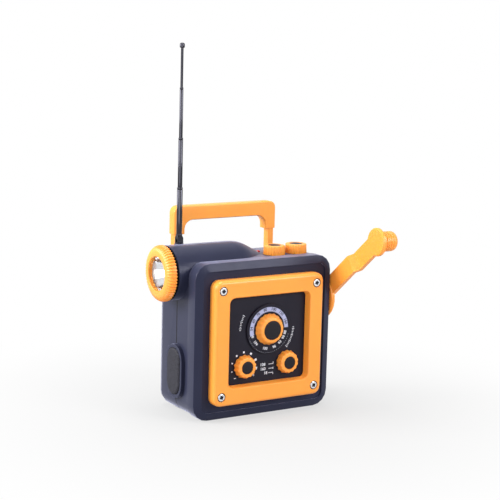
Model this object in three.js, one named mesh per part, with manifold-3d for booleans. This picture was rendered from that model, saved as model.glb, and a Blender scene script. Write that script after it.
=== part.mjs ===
// Hand cranked flashlight radio, in millimetres.
// The pieces are laid out as they are seen from the front: X to the right, Y up and Z towards
// the viewer, from the middle of the front face. The last lines stand the radio up on its base,
// with Z up and Y to the back.

import * as THREE from 'three';
import { mergeVertices } from 'three/addons/utils/BufferGeometryUtils.js';
import Module from 'manifold-3d';

const wasm = await Module();
wasm.setup();

// Clearances, and how finely round shapes are divided
const gap = 0.3;
const overrun = 1.5;
const weldDistance = 0.0001;
const cornerSteps = 4;
const roundSteps = 3;
const softSteps = 2;
const smallRound = 10;
const coarseRound = 16;
const fineRound = 24;

// Case: a square box that flares into its front face, where a sloping rim runs round a flat field
const flangeSide = 138;
const flangeCorner = 14;
const flangeThick = 11.8;
const flangeFlare = 3;
const rimSet = 0.9;
const rimEdge = 0.8;
const rimWidth = 7;
const rimLand = 0.5;
const rimProud = 1.3;
const caseSide = 136;
const caseCorner = 13;
const caseDepth = 70;
const rearRound = 10.5;
const wall = 2.5;
const faceWall = 3;
const seamDepth = 34.4;

// Lamp barrel, moulded across the top of the case, with a nose that slopes into the case top
const barrelRadius = 24;
const barrelDrop = 11.6;
const barrelHeight = caseSide / 2 - barrelDrop;
const barrelDepth = 38;
const barrelOverhang = 9;
const neckRadius = 22;
const neckLength = 4.1;
const noseStart = -14;
const noseRadius = 30;
const noseAngle = THREE.MathUtils.degToRad(28);
const noseEndRadius = 7;

// Front frame with its sloping window
const frameSide = 110;
const frameCorner = 7;
const frameProud = 10.3;
const frameRound = 3;
const windowWidth = 81.4;
const windowHeight = 79;
const windowCorner = 5;
const windowDraft = 1.6;
const windowEdge = 0.8;
const rebateMargin = 1.9;
const openingMargin = 3;

// Frame screws
const screwX = 47.5;
const screwY = 46.4;
const screwHeadRadius = 2.9;
const screwHeadHeight = 1.3;
const screwHeadEdge = 0.5;
const screwShankRadius = 1.4;
const screwLength = 17;
const counterboreRadius = 4.1;
const counterboreDepth = 1.6;
const crossWidth = 0.9;
const crossSpan = 3.4;
const crossDepth = 0.9;
const bossWall = 2.2;

// Control panel and dial
const panelFace = 3.5;
const dialRadius = 22.3;
const dialThick = 1.5;
const tuningX = 1.8;
const tuningY = 8.2;
const volumeX = -21.7;
const volumeY = -23.1;
const bandX = 21.7;
const bandY = -23.3;

// Knobs, each with a recessed cap and a moulded stem
const tuningBase = 14;
const tuningTop = 10.9;
const tuningHeight = 6;
const tuningCap = 8.3;
const tuningLobes = 18;
const smallBase = 10.4;
const smallTop = 9.1;
const smallHeight = 6;
const smallCap = 5.9;
const smallLobes = 14;
const switchBase = 9.8;
const switchTop = 9.4;
const switchHeight = 8.3;
const switchCap = 6.7;
const switchRibs = 24;
const lobeDepth = 0.8;
const lobeShares = [1 / 6, 3 / 6, 5 / 6];
const ribShares = [0, 1 / 2];
const knobRound = 1.4;
const capDepth = 1;
const capCrown = 0.3;
const stemRadius = 3;
const switchX = 23.3;
const switchPitch = 22.8;
const switchDepth = 23.4;

// What the knobs turn, on the back of the panel and under the case top, and the circuit board
const controlSide = 17;
const switchSide = 14;
const controlCorner = 2;
const controlThick = 9;
const boardThick = 1.6;
const boardWidth = 86;
const boardHeight = 88;
const boardY = -6;

// Charge light on the case top
const lightX = 17.3;
const lightDepth = 41;
const lightRadius = 1.7;
const lightProud = 1.5;
const lightRound = 0.8;
const lightLength = 6;

// Lamp head
const ringRadius = 24.5;
const ringLength = 7.6;
const ringFace = 17.4;
const ringShoulder = 5;
const ringRibs = 54;
const ringRibDepth = 0.9;
const ringOpening = 15;
const ringLip = 4;
const lensThick = 1.2;
const lensCrown = 1;
const reflectorDepth = 15;
const reflectorThroat = 3.6;
const reflectorWall = 0.9;
const reflectorShares = [0, 0.4, 1];
const bulbRadius = 2.6;
const bulbLength = 12;
const bulbSeat = 5;
const bulbSet = 7.5;
const sealWidth = 1.9;
const sealRise = 1.2;

// Telescopic antenna
const antennaX = -60.8;
const antennaDepth = 46;
const seatRise = 23.8;
const antennaSeat = barrelHeight + seatRise;
const swivelRadius = 3.8;
const swivelThick = 1.6;
const forkWidth = 5.4;
const forkGap = 2.6;
const pivotRise = 2.9;
const pivotRadius = 0.8;
const studRadius = 1.8;
const studLength = 5;
const tubeRadii = [2.5, 2.05, 1.6, 1.15];
const tubeWall = 0.25;
const tubeTops = [129.1, 172, 215.2, 248.8];
const tubeOverlap = 5;
const tubePlug = 2;
const tipRadius = 2.2;
const tipHeight = 4.4;
const tipEdge = 1;

// Carrying handle, hinged behind the case
const handleHalf = 53;
const handleInner = 42;
const handleTop = 108.6;
const handleGrip = 12.8;
const handleThick = 10;
const handleOuterCorner = 6;
const handleInnerCorner = 8;
const handleEdge = 1;
const stepHeight = 83.5;
const legOuter = 51.6;
const legInner = 46.2;
const legThick = 7.6;
const hingeHeight = 52;
const legClear = 0.6;
const pinSet = 0.8;
const hingeEyeRadius = 4.4;
const hingePinRadius = 1.5;
const earRadius = 5;
const earThick = 3.2;

// Crank on the right side, with its arm pointing forwards and up
const crankHeight = 28;
const crankDepth = 17.5;
const crankReach = 94.5;
const crankAngle = THREE.MathUtils.degToRad(39.3);
const hubRadius = 20.3;
const hubFace = 69.8;
const hubThick = 3.4;
const armWidth = 16;
const armThick = 4;
const armSet = 0.7;
const armStart = 16.5;
const armStepAt = 57.5;
const armStepLength = 3.5;
const armOffset = 5;
const armEndRadius = 12.4;
const armEdge = 1.1;
const crankKnobRadius = 8.75;
const crankKnobLength = 15.2;
const crankKnobRound = 4;
const crankGrooves = 4;
const crankGroovePitch = 2.2;
const crankGrooveWidth = 0.9;
const crankGrooveDepth = 0.5;
const knobPinRadius = 2;
const knobPinHead = 3.4;
const knobPinFloor = 1;
const shaftRadius = 3;
const shaftHeadRadius = 4.4;
const shaftHeadThick = 1.6;
const bushRadius = 5;
const bushFlange = 6.5;
const bushFlangeThick = 1.2;
const bossRadius = 10;
const bossProud = 1.2;

// Gear train behind the crank: 24 to 10 teeth, then 30 to 8
const drivePitchRadius = 12;
const driveTeeth = 24;
const gearModule = 2 * drivePitchRadius / driveTeeth;
const idlerPinionTeeth = 10;
const idlerTeeth = 30;
const dynamoTeeth = 8;
const toothRootShare = 0.3;
const toothTipShare = 0.12;
const toothDepthShare = 1.2;
const driveGearX = 57;
const driveGearThick = 4;
const idlerGearX = 52.6;
const idlerGearThick = 3;
const idlerBearing = THREE.MathUtils.degToRad(-40);
const dynamoBearing = THREE.MathUtils.degToRad(-75);
const gearPlateX = 49;
const gearPlateThick = 1.8;
const gearPlateMargin = 12;
const axleRadius = 1.5;
const postRadius = 2.6;
const dynamoRadius = 12;
const dynamoLength = 26;
const dynamoShaftLength = 11;

// Loudspeaker behind its slots
const speakerHeight = 20;
const speakerRadius = 28.5;
const speakerLip = 2;
const speakerCone = 25;
const speakerBasket = 16;
const speakerDepth = 18;
const speakerDish = 9;
const dustCap = 7;
const dustCapRise = 2;
const magnetThick = 7;
const slotCount = 8;
const slotPitch = 5.6;
const slotWidth = 2.4;
const slotField = 25;

// Battery bay behind its door
const bayHeight = -34.5;
const bayWidth = 56;
const bayTall = 44;
const bayCorner = 3;
const bayDepth = 17;
const trayWall = 1.4;
const cellRadius = 7;
const cellLength = 50.5;
const cellNubRadius = 2.8;
const cellNub = 1.2;
const cellCount = 3;
const doorThick = 2;
const latchWidth = 14;
const latchDepth = 0.8;
const latchHeight = 3;
const latchDrop = 5;

// Side sockets under a rubber cover
const jackHeight = -30;
const jackDepth = 33;
const jackWidth = 28;
const jackTall = 48;
const jackProud = 3.3;
const jackRim = 2.6;
const jackRecess = 2.6;
const jackBack = 8;
const coverCrown = 1.2;
const socketRadius = 4.2;
const socketBore = 2.2;
const socketLength = 9;
const socketSpread = 10;

// Ferrite aerial rod inside, and the moulded feet at the back
const ferriteRadius = 4.6;
const ferriteLength = 84;
const ferriteX = -8;
const ferriteDepth = 21;
const footX = 53;
const footWidth = 8;
const footLength = 9;
const footDepth = 50.5;

// Finishes
const orangePlastic = { color: 0xff9c38, roughness: 0.42, metalness: 0 };
const slatePlastic = { color: 0x3d3d4a, roughness: 0.62, metalness: 0 };
const panelPlastic = { color: 0x24242c, roughness: 0.4, metalness: 0 };
const dialPlastic = { color: 0x1c1c24, roughness: 0.35, metalness: 0 };
const capPlastic = { color: 0x2c2f3a, roughness: 0.5, metalness: 0 };
const chrome = { color: 0xd8dade, roughness: 0.14, metalness: 1 };
const steel = { color: 0xa8aab0, roughness: 0.32, metalness: 1 };
const brass = { color: 0xc9a24a, roughness: 0.35, metalness: 1 };
const blackRubber = { color: 0x26262c, roughness: 0.85, metalness: 0 };
const clearPlastic = { color: 0xf2f6fa, roughness: 0.05, metalness: 0, transparent: true, opacity: 0.35 };
const whiteNylon = { color: 0xe9e6dc, roughness: 0.6, metalness: 0 };
const boardGreen = { color: 0x2f6b3c, roughness: 0.6, metalness: 0 };
const redLens = { color: 0xc8202a, roughness: 0.2, metalness: 0 };
const cellWrap = { color: 0x2f6fb0, roughness: 0.45, metalness: 0 };
const ferriteGrey = { color: 0x3a3a3c, roughness: 0.7, metalness: 0 };

const fullTurn = Math.PI * 2;
const halfTurn = Math.PI;
const quarterTurn = Math.PI / 2;

const body = new THREE.Group();

function addPiece(name, geometry, finish, place = [0, 0, 0]) {
  const closed = geometryOf(solidOf(geometry)).toNonIndexed();
  closed.computeVertexNormals();
  const mesh = new THREE.Mesh(closed, new THREE.MeshStandardMaterial(finish));
  mesh.name = name;
  mesh.position.set(...place);
  body.add(mesh);
}

// A geometry as a closed solid: welded, without slivers, and with its faces pointing out
function solidOf(geometry) {
  const bare = new THREE.BufferGeometry();
  bare.setAttribute('position', geometry.attributes.position.clone());
  bare.setIndex(geometry.index ? geometry.index.clone() : null);
  const welded = mergeVertices(bare, weldDistance);
  const points = welded.attributes.position.array;
  const corners = [];
  let volume = 0;
  for (let i = 0; i < welded.index.count; i += 3) {
    const [a, b, c] = [0, 1, 2].map((k) => welded.index.getX(i + k));
    if (a === b || b === c || c === a) continue;
    corners.push(a, b, c);
    const [p, q, r] = [a, b, c].map((k) => new THREE.Vector3().fromArray(points, 3 * k));
    volume += p.dot(q.cross(r));
  }
  if (volume < 0) corners.reverse();
  const vertProperties = new Float32Array(points);
  return new wasm.Manifold(new wasm.Mesh({ numProp: 3, vertProperties, triVerts: new Uint32Array(corners) }));
}

function geometryOf(solid) {
  const mesh = solid.getMesh();
  const geometry = new THREE.BufferGeometry();
  geometry.setAttribute('position', new THREE.BufferAttribute(new Float32Array(mesh.vertProperties), 3));
  geometry.setIndex(new THREE.BufferAttribute(new Uint32Array(mesh.triVerts), 1));
  return geometry;
}

function join(...parts) {
  return geometryOf(parts.map(solidOf).reduce((whole, part) => whole.add(part)));
}

function cut(base, ...tools) {
  return geometryOf(tools.map(solidOf).reduce((rest, tool) => rest.subtract(tool), solidOf(base)));
}

// Outlines, as rings of points that run counterclockwise
function polar(radius, turn) {
  return new THREE.Vector2(radius * Math.cos(turn), radius * Math.sin(turn));
}

function roundedRect(width, height, radius, steps = cornerSteps) {
  const ring = [];
  const corners = [[1, 1], [-1, 1], [-1, -1], [1, -1]];
  corners.forEach(([sideX, sideY], corner) => {
    const centre = new THREE.Vector2(sideX * (width / 2 - radius), sideY * (height / 2 - radius));
    for (let i = 0; i <= steps; i++) {
      ring.push(polar(radius, (corner + i / steps) * quarterTurn).add(centre));
    }
  });
  return ring;
}

// A ring of lobes or ribs: the outline dips by the given depth between each one and the next
function lobed(radius, depth, lobes, shares) {
  const ring = [];
  for (let i = 0; i < lobes; i++) {
    for (const share of shares) {
      const dip = depth * (1 + Math.cos(share * fullTurn)) / 2;
      ring.push(polar(radius - dip, ((i + share) / lobes) * fullTurn));
    }
  }
  return ring;
}

// Gear teeth with straight flanks, the first tooth centred on the given direction
function toothed(teeth, facing) {
  const pitchRadius = gearModule * teeth / 2;
  const outer = pitchRadius + gearModule;
  const inner = pitchRadius - gearModule * toothDepthShare;
  const ring = [];
  for (let i = 0; i < teeth; i++) {
    const turn = (share) => facing + (i + share) * (fullTurn / teeth);
    ring.push(polar(inner, turn(-toothRootShare)), polar(outer, turn(-toothTipShare)));
    ring.push(polar(outer, turn(toothTipShare)), polar(inner, turn(toothRootShare)));
  }
  return ring;
}

// A solid through outlines of equal count, each at its own height along Z
function loft(sections) {
  const count = sections[0].ring.length;
  const last = (sections.length - 1) * count;
  const positions = [];
  const index = [];
  for (const { ring, at } of sections) {
    for (const point of ring) positions.push(point.x, point.y, at);
  }
  for (let start = 0; start < last; start += count) {
    for (let i = 0; i < count; i++) {
      const a = start + i;
      const b = start + (i + 1) % count;
      index.push(a, b, b + count, a, b + count, a + count);
    }
  }
  for (const [a, b, c] of THREE.ShapeUtils.triangulateShape(sections[0].ring, [])) index.push(a, c, b);
  for (const [a, b, c] of THREE.ShapeUtils.triangulateShape(sections.at(-1).ring, [])) {
    index.push(last + a, last + b, last + c);
  }
  const geometry = new THREE.BufferGeometry();
  geometry.setAttribute('position', new THREE.Float32BufferAttribute(positions, 3));
  geometry.setIndex(index);
  return geometry;
}

function prism(ring, from, to) {
  return loft([{ ring, at: from }, { ring, at: to }]);
}

// How far an edge that is rounded by a quarter turn has come in and risen, step by step
function quarterRound(inward, deep, steps = roundSteps) {
  const round = [];
  for (let i = 0; i <= steps; i++) {
    const turn = (i / steps) * quarterTurn;
    round.push({ inset: inward * (1 - Math.cos(turn)), rise: deep * Math.sin(turn) });
  }
  return round;
}

// A block with rounded corners, seen from the front; its front and back edges may be rounded too
function block(width, height, corner, back, front, { frontRound = [0, 0], backRound = 0 } = {}) {
  const section = (inset, at) => ({
    ring: roundedRect(width - 2 * inset, height - 2 * inset, corner - inset), at,
  });
  const [inward, deep] = frontRound;
  const rear = backRound ? quarterRound(backRound, backRound).reverse() : [{ inset: 0, rise: 0 }];
  const fore = inward ? quarterRound(inward, deep) : [{ inset: 0, rise: 0 }];
  return loft([
    ...rear.map(({ inset, rise }) => section(inset, back + backRound - rise)),
    ...fore.map(({ inset, rise }) => section(inset, front - deep + rise)),
  ]);
}

// A turned solid about Z, from a profile of [radius, height] points
function turned(profile, segments = coarseRound) {
  const points = profile.map(([radius, height]) => new THREE.Vector2(radius, height));
  return new THREE.LatheGeometry(points, segments).rotateX(quarterTurn);
}

function rod(radius, from, to, segments = coarseRound) {
  return turned([[0, from], [radius, from], [radius, to], [0, to]], segments);
}

function tube(outer, inner, from, to, segments = coarseRound) {
  return turned([[inner, from], [outer, from], [outer, to], [inner, to], [inner, from]], segments);
}

function box([fromX, toX], [fromY, toY], [fromZ, toZ]) {
  const geometry = new THREE.BoxGeometry(toX - fromX, toY - fromY, toZ - fromZ);
  return geometry.translate((fromX + toX) / 2, (fromY + toY) / 2, (fromZ + toZ) / 2);
}

// What is made along Z is turned to run to the right, to the left or up
const alongX = (geometry) => geometry.rotateY(quarterTurn);
const leftwards = (geometry) => geometry.rotateY(-quarterTurn);
const alongY = (geometry) => geometry.rotateX(-quarterTurn);

// Case: the outer form is hollowed, then split at the seam into two shells
const caseHalf = caseSide / 2;
const sideInner = caseHalf - wall;
const barrelEnd = -caseHalf - barrelOverhang;
const neckEnd = barrelEnd - neckLength;
const neckBore = neckRadius - wall;
const barrelPlace = [0, barrelHeight, -barrelDepth];
const crankPlace = [0, crankHeight, -crankDepth];
const farAway = caseSide + flangeSide;

// The barrel's side from its left end to the tip of its nose, moved in by the inset
function barrelSide(inset, leftEnd) {
  const bend = noseRadius - inset;
  const side = [[barrelRadius - inset, leftEnd]];
  for (let i = 0; i <= roundSteps; i++) {
    const turn = (i / roundSteps) * noseAngle;
    side.push([barrelRadius - noseRadius + bend * Math.cos(turn), noseStart + bend * Math.sin(turn)]);
  }
  const slope = Math.tan(noseAngle);
  const bendEnd = barrelRadius - noseRadius + noseRadius * Math.cos(noseAngle);
  const tipX = noseStart + noseRadius * Math.sin(noseAngle) + (bendEnd - noseEndRadius) / slope;
  const [radius, x] = side.at(-1);
  side.push([radius - (tipX - x) * slope, tipX], [0, tipX]);
  return side;
}

// The front face: its rim slopes up from the case's edge, then drops to the field round the frame
function frontFace() {
  const inside = (inset) => (
    roundedRect(flangeSide - 2 * inset, flangeSide - 2 * inset, flangeCorner - inset));
  const flare = (flangeSide - caseSide) / 2;
  const face = loft([
    { ring: inside(flare), at: -flangeThick - flangeFlare },
    { ring: inside(0), at: -flangeThick },
    ...quarterRound(rimEdge, rimEdge, softSteps).map(({ inset, rise }) => (
      { ring: inside(inset), at: rise - rimEdge - rimSet })),
    { ring: inside(rimWidth - rimLand), at: rimProud },
  ]);
  return cut(face, prism(inside(rimWidth), 0, rimProud + overrun));
}

function caseForm() {
  const backRound = rearRound;
  const shellBox = block(caseSide, caseSide, caseCorner, -caseDepth, -faceWall, { backRound });
  const barrel = turned([[0, barrelEnd], ...barrelSide(0, barrelEnd)], fineRound);
  const neck = rod(neckRadius, neckEnd, barrelEnd + overrun, fineRound);
  const crankBoss = rod(bossRadius, sideInner, caseHalf + bossProud);
  return join(
    frontFace(), shellBox,
    alongX(barrel).translate(...barrelPlace),
    alongX(neck).translate(...barrelPlace),
    alongX(crankBoss).translate(...crankPlace),
  );
}

function caseRoom() {
  const side = caseSide - 2 * wall;
  const backRound = rearRound - wall;
  return block(side, side, caseCorner - wall, wall - caseDepth, -faceWall, { backRound });
}

function barrelBore() {
  const start = neckEnd - overrun;
  const step = barrelEnd + wall;
  const bore = turned([[0, start], [neckBore, start], [neckBore, step], ...barrelSide(wall, step)], fineRound);
  return alongX(bore).translate(...barrelPlace);
}

const emptyCase = cut(caseForm(), caseRoom(), barrelBore());
const wide = [-farAway, farAway];
const frontHalf = box(wide, wide, [-seamDepth - gap / 2, farAway]);
const rearHalf = box(wide, wide, [-farAway, gap / 2 - seamDepth]);

// The oval of the side sockets, seen from the left
const jackPlace = [-caseHalf, jackHeight, -jackDepth];

function jackOval(margin, from, to) {
  const width = jackWidth + 2 * margin;
  return prism(roundedRect(width, jackTall + 2 * margin, width / 2 - gap), from, to);
}

const jackCutout = leftwards(jackOval(gap, -wall - overrun, overrun)).translate(...jackPlace);

// Front shell: screw bosses, the opening behind the panel, and holes for the top knobs and the crank
const frameCorners = [[-1, 1], [1, 1], [-1, -1], [1, -1]];
const screwPlaces = frameCorners.map(([sideX, sideY]) => [sideX * screwX, sideY * screwY]);
const screwSeat = frameProud - counterboreDepth;
const screwDepth = screwLength - screwSeat;
const screwHole = screwShankRadius + gap;
const switchPlaces = [switchX, switchX + switchPitch];

function frontShell() {
  const bosses = screwPlaces.map(([x, y]) => (
    rod(screwHole + bossWall, -screwDepth - bossWall, -faceWall / 2, smallRound).translate(x, y, 0)));
  const holes = screwPlaces.map(([x, y]) => (
    rod(screwHole, -screwDepth - gap, overrun, smallRound).translate(x, y, 0)));
  const openingRing = roundedRect(windowWidth - openingMargin, windowHeight - openingMargin, windowCorner);
  const opening = prism(openingRing, -faceWall - overrun, overrun);
  const stems = switchPlaces.map((x) => (
    alongY(rod(stemRadius + gap, sideInner - overrun, caseHalf + overrun)).translate(x, 0, -switchDepth)));
  const bearing = alongX(rod(bushRadius + gap, sideInner - overrun, farAway)).translate(...crankPlace);
  return cut(join(emptyCase, ...bosses), ...holes, opening, ...stems, bearing, rearHalf, jackCutout);
}

// Rear shell: loudspeaker slots, the battery opening, hinge ears, feet and the antenna's seat
const rearInner = wall - caseDepth;
const handleDepth = caseDepth + legClear + legThick / 2;
const hingeDepth = handleDepth + pinSet;
const earInside = legInner - gap - earThick;
const earOutside = legOuter + gap;

function speakerSlots() {
  const slots = [];
  for (let i = 0; i < slotCount; i++) {
    const offset = (i - (slotCount - 1) / 2) * slotPitch;
    const length = 2 * Math.sqrt(slotField ** 2 - offset ** 2);
    const ring = roundedRect(length, slotWidth, slotWidth / 3, 1);
    slots.push(prism(ring, -caseDepth - overrun, rearInner + overrun).translate(0, speakerHeight + offset, 0));
  }
  return slots;
}

function hingeEar(fromX) {
  const root = wall / 2 - caseDepth;
  const outline = [new THREE.Vector2(root, -earRadius), new THREE.Vector2(root, earRadius)];
  for (let i = 0; i <= 2 * cornerSteps; i++) {
    const turn = (1 + i / cornerSteps) * quarterTurn;
    outline.push(polar(earRadius, turn).add(new THREE.Vector2(-hingeDepth, 0)));
  }
  return leftwards(prism(outline, -fromX - earThick, -fromX)).translate(0, hingeHeight, 0);
}

function rearShell() {
  const earStarts = [earInside, earOutside, -earInside - earThick, -earOutside - earThick];
  const ears = earStarts.map(hingeEar);
  const pinHole = alongX(rod(hingePinRadius + gap, ...wide, smallRound)).translate(0, hingeHeight, -hingeDepth);
  const feet = [-footX, footX].map((x) => box(
    [x - footWidth / 2, x + footWidth / 2], [-flangeSide / 2, wall - caseHalf],
    [-footDepth - footLength / 2, footLength / 2 - footDepth]));
  const atAntenna = (radius, from, to) => (
    alongY(rod(radius, from, to, smallRound)).translate(antennaX, 0, -antennaDepth));
  const barrelTop = barrelHeight + Math.sqrt(barrelRadius ** 2 - (antennaDepth - barrelDepth) ** 2);
  const seat = atAntenna(swivelRadius + gap, barrelTop - wall, antennaSeat - gap);
  const stud = atAntenna(studRadius + gap, antennaSeat - studLength - overrun, antennaSeat + overrun);
  const light = alongY(rod(lightRadius + gap, sideInner - overrun, caseHalf + overrun, smallRound));
  const bay = prism(roundedRect(bayWidth, bayTall, bayCorner), -caseDepth - overrun, rearInner + overrun);
  return cut(
    join(emptyCase, ...ears, ...feet, seat),
    pinHole, stud, light.translate(lightX, 0, -lightDepth), bay.translate(0, bayHeight, 0),
    ...speakerSlots(), frontHalf, jackCutout);
}

addPiece('front_shell', frontShell(), slatePlastic);
addPiece('rear_shell', rearShell(), slatePlastic);

// Front frame: its window narrows towards the panel, and a rebate behind it takes the panel's edge
const rebateWidth = windowWidth + 2 * rebateMargin;
const rebateHeight = windowHeight + 2 * rebateMargin;
const rebateCorner = windowCorner + rebateMargin;

function frontFrame() {
  const frontRound = [frameRound, frameRound];
  const outer = block(frameSide, frameSide, frameCorner, gap, frameProud, { frontRound });
  const throatSection = (grow, at) => ({
    ring: roundedRect(windowWidth + 2 * grow, windowHeight + 2 * grow, windowCorner + grow), at,
  });
  const throat = loft([
    throatSection(-windowDraft, 0), throatSection(0, frameProud - windowEdge),
    throatSection(windowEdge, frameProud), throatSection(windowEdge, frameProud + overrun),
  ]);
  const rebate = prism(roundedRect(rebateWidth, rebateHeight, rebateCorner), -overrun, panelFace + gap);
  const holes = screwPlaces.flatMap(([x, y]) => [
    rod(screwHole, -overrun, frameProud + overrun, smallRound).translate(x, y, 0),
    rod(counterboreRadius, screwSeat, frameProud + overrun).translate(x, y, 0),
  ]);
  return cut(outer, throat, rebate, ...holes);
}

function frameScrew() {
  const top = gap + screwHeadHeight;
  const head = turned([
    [0, -screwLength], [screwShankRadius, -screwLength], [screwShankRadius, gap], [screwHeadRadius, gap],
    [screwHeadRadius, top - screwHeadEdge], [screwHeadRadius - screwHeadEdge, top], [0, top],
  ], smallRound);
  const floor = [top - crossDepth, top + overrun];
  const bars = [[crossSpan, crossWidth], [crossWidth, crossSpan]];
  return cut(head, ...bars.map(([x, y]) => box([-x / 2, x / 2], [-y / 2, y / 2], floor)));
}

addPiece('front_frame', frontFrame(), orangePlastic);
screwPlaces.forEach(([x, y], i) => {
  addPiece(`frame_screw_${i + 1}`, frameScrew(), chrome, [x, y, screwSeat]);
});

// Control panel, clamped between the frame and the shell, with three shaft holes
const shafts = { tuning: [tuningX, tuningY], volume: [volumeX, volumeY], band: [bandX, bandY] };

function controlPanel() {
  const ring = roundedRect(rebateWidth - 2 * gap, rebateHeight - 2 * gap, rebateCorner - gap);
  const holes = Object.values(shafts).map(([x, y]) => (
    rod(stemRadius + gap, -overrun, panelFace + overrun, smallRound).translate(x, y, 0)));
  return cut(prism(ring, gap, panelFace), ...holes);
}

addPiece('control_panel', controlPanel(), panelPlastic);

// A knob: its lobed side tapers to a rounded top, with a recess for the cap and a stem behind
function knob({ base, top, height, cap, lobes, shares }, stem) {
  const section = (radius, depth, at) => ({ ring: lobed(radius, depth, lobes, shares), at });
  const shoulder = height - knobRound;
  const form = loft([
    section(base, lobeDepth, 0),
    section(top, lobeDepth, shoulder),
    ...quarterRound(knobRound, knobRound, softSteps).slice(1).map(({ inset, rise }) => (
      section(top - inset, lobeDepth * (1 - rise / knobRound), shoulder + rise))),
  ]);
  const recess = rod(cap + gap, height - capDepth, height + overrun, fineRound);
  return cut(join(form, rod(stemRadius, -stem, height / 2, smallRound)), recess);
}

function knobCap(radius) {
  const rim = capDepth - gap;
  return turned([
    [0, 0], [radius, 0], [radius, rim - capCrown], [radius - capCrown, rim], [0, rim + capCrown],
  ], fineRound);
}

const tuningForm = {
  base: tuningBase, top: tuningTop, height: tuningHeight, cap: tuningCap,
  lobes: tuningLobes, shares: lobeShares,
};
const smallForm = {
  base: smallBase, top: smallTop, height: smallHeight, cap: smallCap,
  lobes: smallLobes, shares: lobeShares,
};
const switchForm = {
  base: switchBase, top: switchTop, height: switchHeight, cap: switchCap,
  lobes: switchRibs, shares: ribShares,
};
const dialBack = panelFace + gap;
const tuningBack = dialBack + dialThick + gap;
const stemTip = -controlThick / 2;

const dialPlate = cut(
  rod(dialRadius, 0, dialThick, fineRound), rod(stemRadius + gap, -overrun, dialThick + overrun, smallRound));
addPiece('dial_plate', dialPlate, dialPlastic, [tuningX, tuningY, dialBack]);
const faceKnobs = {
  tuning: [tuningForm, tuningBack], volume: [smallForm, dialBack], band: [smallForm, dialBack],
};
for (const [name, [form, back]] of Object.entries(faceKnobs)) {
  const [x, y] = shafts[name];
  addPiece(`${name}_knob`, knob(form, back - stemTip), orangePlastic, [x, y, back]);
  addPiece(`${name}_cap`, knobCap(form.cap), capPlastic, [x, y, back + form.height - capDepth + gap]);
}

// The tuning capacitor, volume control and band switch behind the panel, on the circuit board
function controlCan(side) {
  const can = block(side, side, controlCorner, -controlThick, 0);
  return cut(can, rod(stemRadius + gap, -controlThick / 2 - gap, overrun, smallRound));
}

const controls = { tuning: 'tuning_capacitor', volume: 'volume_control', band: 'band_switch' };
for (const [name, label] of Object.entries(controls)) {
  const finish = name === 'tuning' ? whiteNylon : steel;
  addPiece(label, controlCan(controlSide), finish, [...shafts[name], 0]);
}
const board = block(boardWidth, boardHeight, controlCorner, -boardThick, 0);
addPiece('circuit_board', board, boardGreen, [0, boardY, -controlThick - gap]);

// The two knobs on the top, with their rotary switches under the case top
const switchNames = ['power', 'light'];
const switchStem = wall + 2 * gap + controlThick / 2;
switchPlaces.forEach((x, i) => {
  const name = switchNames[i];
  const knobBase = caseHalf + gap;
  addPiece(`${name}_knob`, alongY(knob(switchForm, switchStem)), orangePlastic, [x, knobBase, -switchDepth]);
  const capBase = knobBase + switchHeight - capDepth + gap;
  addPiece(`${name}_cap`, alongY(knobCap(switchCap)), capPlastic, [x, capBase, -switchDepth]);
  addPiece(`${name}_switch`, alongY(controlCan(switchSide)), steel, [x, sideInner - gap, -switchDepth]);
});

const lightDome = turned([
  [0, -lightLength], [lightRadius, -lightLength], [lightRadius, lightProud - lightRound],
  [lightRadius - lightRound, lightProud], [0, lightProud],
], smallRound);
addPiece('charge_light', alongY(lightDome), redLens, [lightX, caseHalf, -lightDepth]);

// Lamp head: the ribbed ring holds the lens against the neck, over the reflector and its bulb
const sealStart = barrelEnd - gap - sealWidth;
const ringBack = sealStart - gap;
const lensFace = ringBack - ringLength + ringLip + gap;
const reflectorMouth = lensFace + lensThick + gap;

function lampRing() {
  const section = (radius, depth, at) => ({ ring: lobed(radius, depth, ringRibs, ribShares), at });
  const shoulder = ringLength - ringShoulder;
  const form = loft([
    section(ringRadius, ringRibDepth, 0),
    ...quarterRound(ringRadius - ringFace, ringShoulder).map(({ inset, rise }) => (
      section(ringRadius - inset, ringRibDepth * (1 - rise / ringShoulder), shoulder + rise))),
  ]);
  const mouth = rod(ringOpening, -overrun, ringLength + overrun, fineRound);
  const socket = rod(neckRadius + gap, -overrun, ringLength - ringLip, fineRound);
  return leftwards(cut(form, mouth, socket));
}

function lampLens() {
  const edge = neckRadius - gap;
  const crown = ringOpening - gap;
  return leftwards(turned([
    [0, -lensThick], [edge, -lensThick], [edge, 0], [crown, 0], [crown - lensCrown, lensCrown], [0, lensCrown],
  ], fineRound));
}

// The reflector's bowl follows a parabola: its radius grows with the root of its depth
function lampReflector() {
  const rim = neckBore - gap;
  const bowl = (thick) => reflectorShares.map((share) => [
    reflectorThroat + thick + (rim - reflectorWall - reflectorThroat) * Math.sqrt(share),
    (share - 1) * reflectorDepth,
  ]);
  const inside = bowl(0);
  return leftwards(turned([...inside, ...bowl(reflectorWall).reverse(), inside[0]], fineRound));
}

const bulb = turned([
  [0, -bulbLength], [reflectorThroat - gap, -bulbLength], [reflectorThroat - gap, -bulbSeat],
  [bulbRadius, -bulbSeat], [bulbRadius, -bulbRadius], [bulbRadius / 2, 0], [0, 0],
], smallRound);
const sealInner = neckRadius + gap;
const seal = alongX(tube(sealInner + sealRise, sealInner, 0, sealWidth, fineRound));
addPiece('lamp_ring', lampRing(), orangePlastic, [ringBack, barrelHeight, -barrelDepth]);
addPiece('lamp_lens', lampLens(), clearPlastic, [lensFace, barrelHeight, -barrelDepth]);
addPiece('lamp_reflector', lampReflector(), chrome, [reflectorMouth, barrelHeight, -barrelDepth]);
addPiece('lamp_bulb', leftwards(bulb), clearPlastic, [reflectorMouth + bulbSet, barrelHeight, -barrelDepth]);
addPiece('lamp_seal', seal, blackRubber, [sealStart, barrelHeight, -barrelDepth]);

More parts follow.
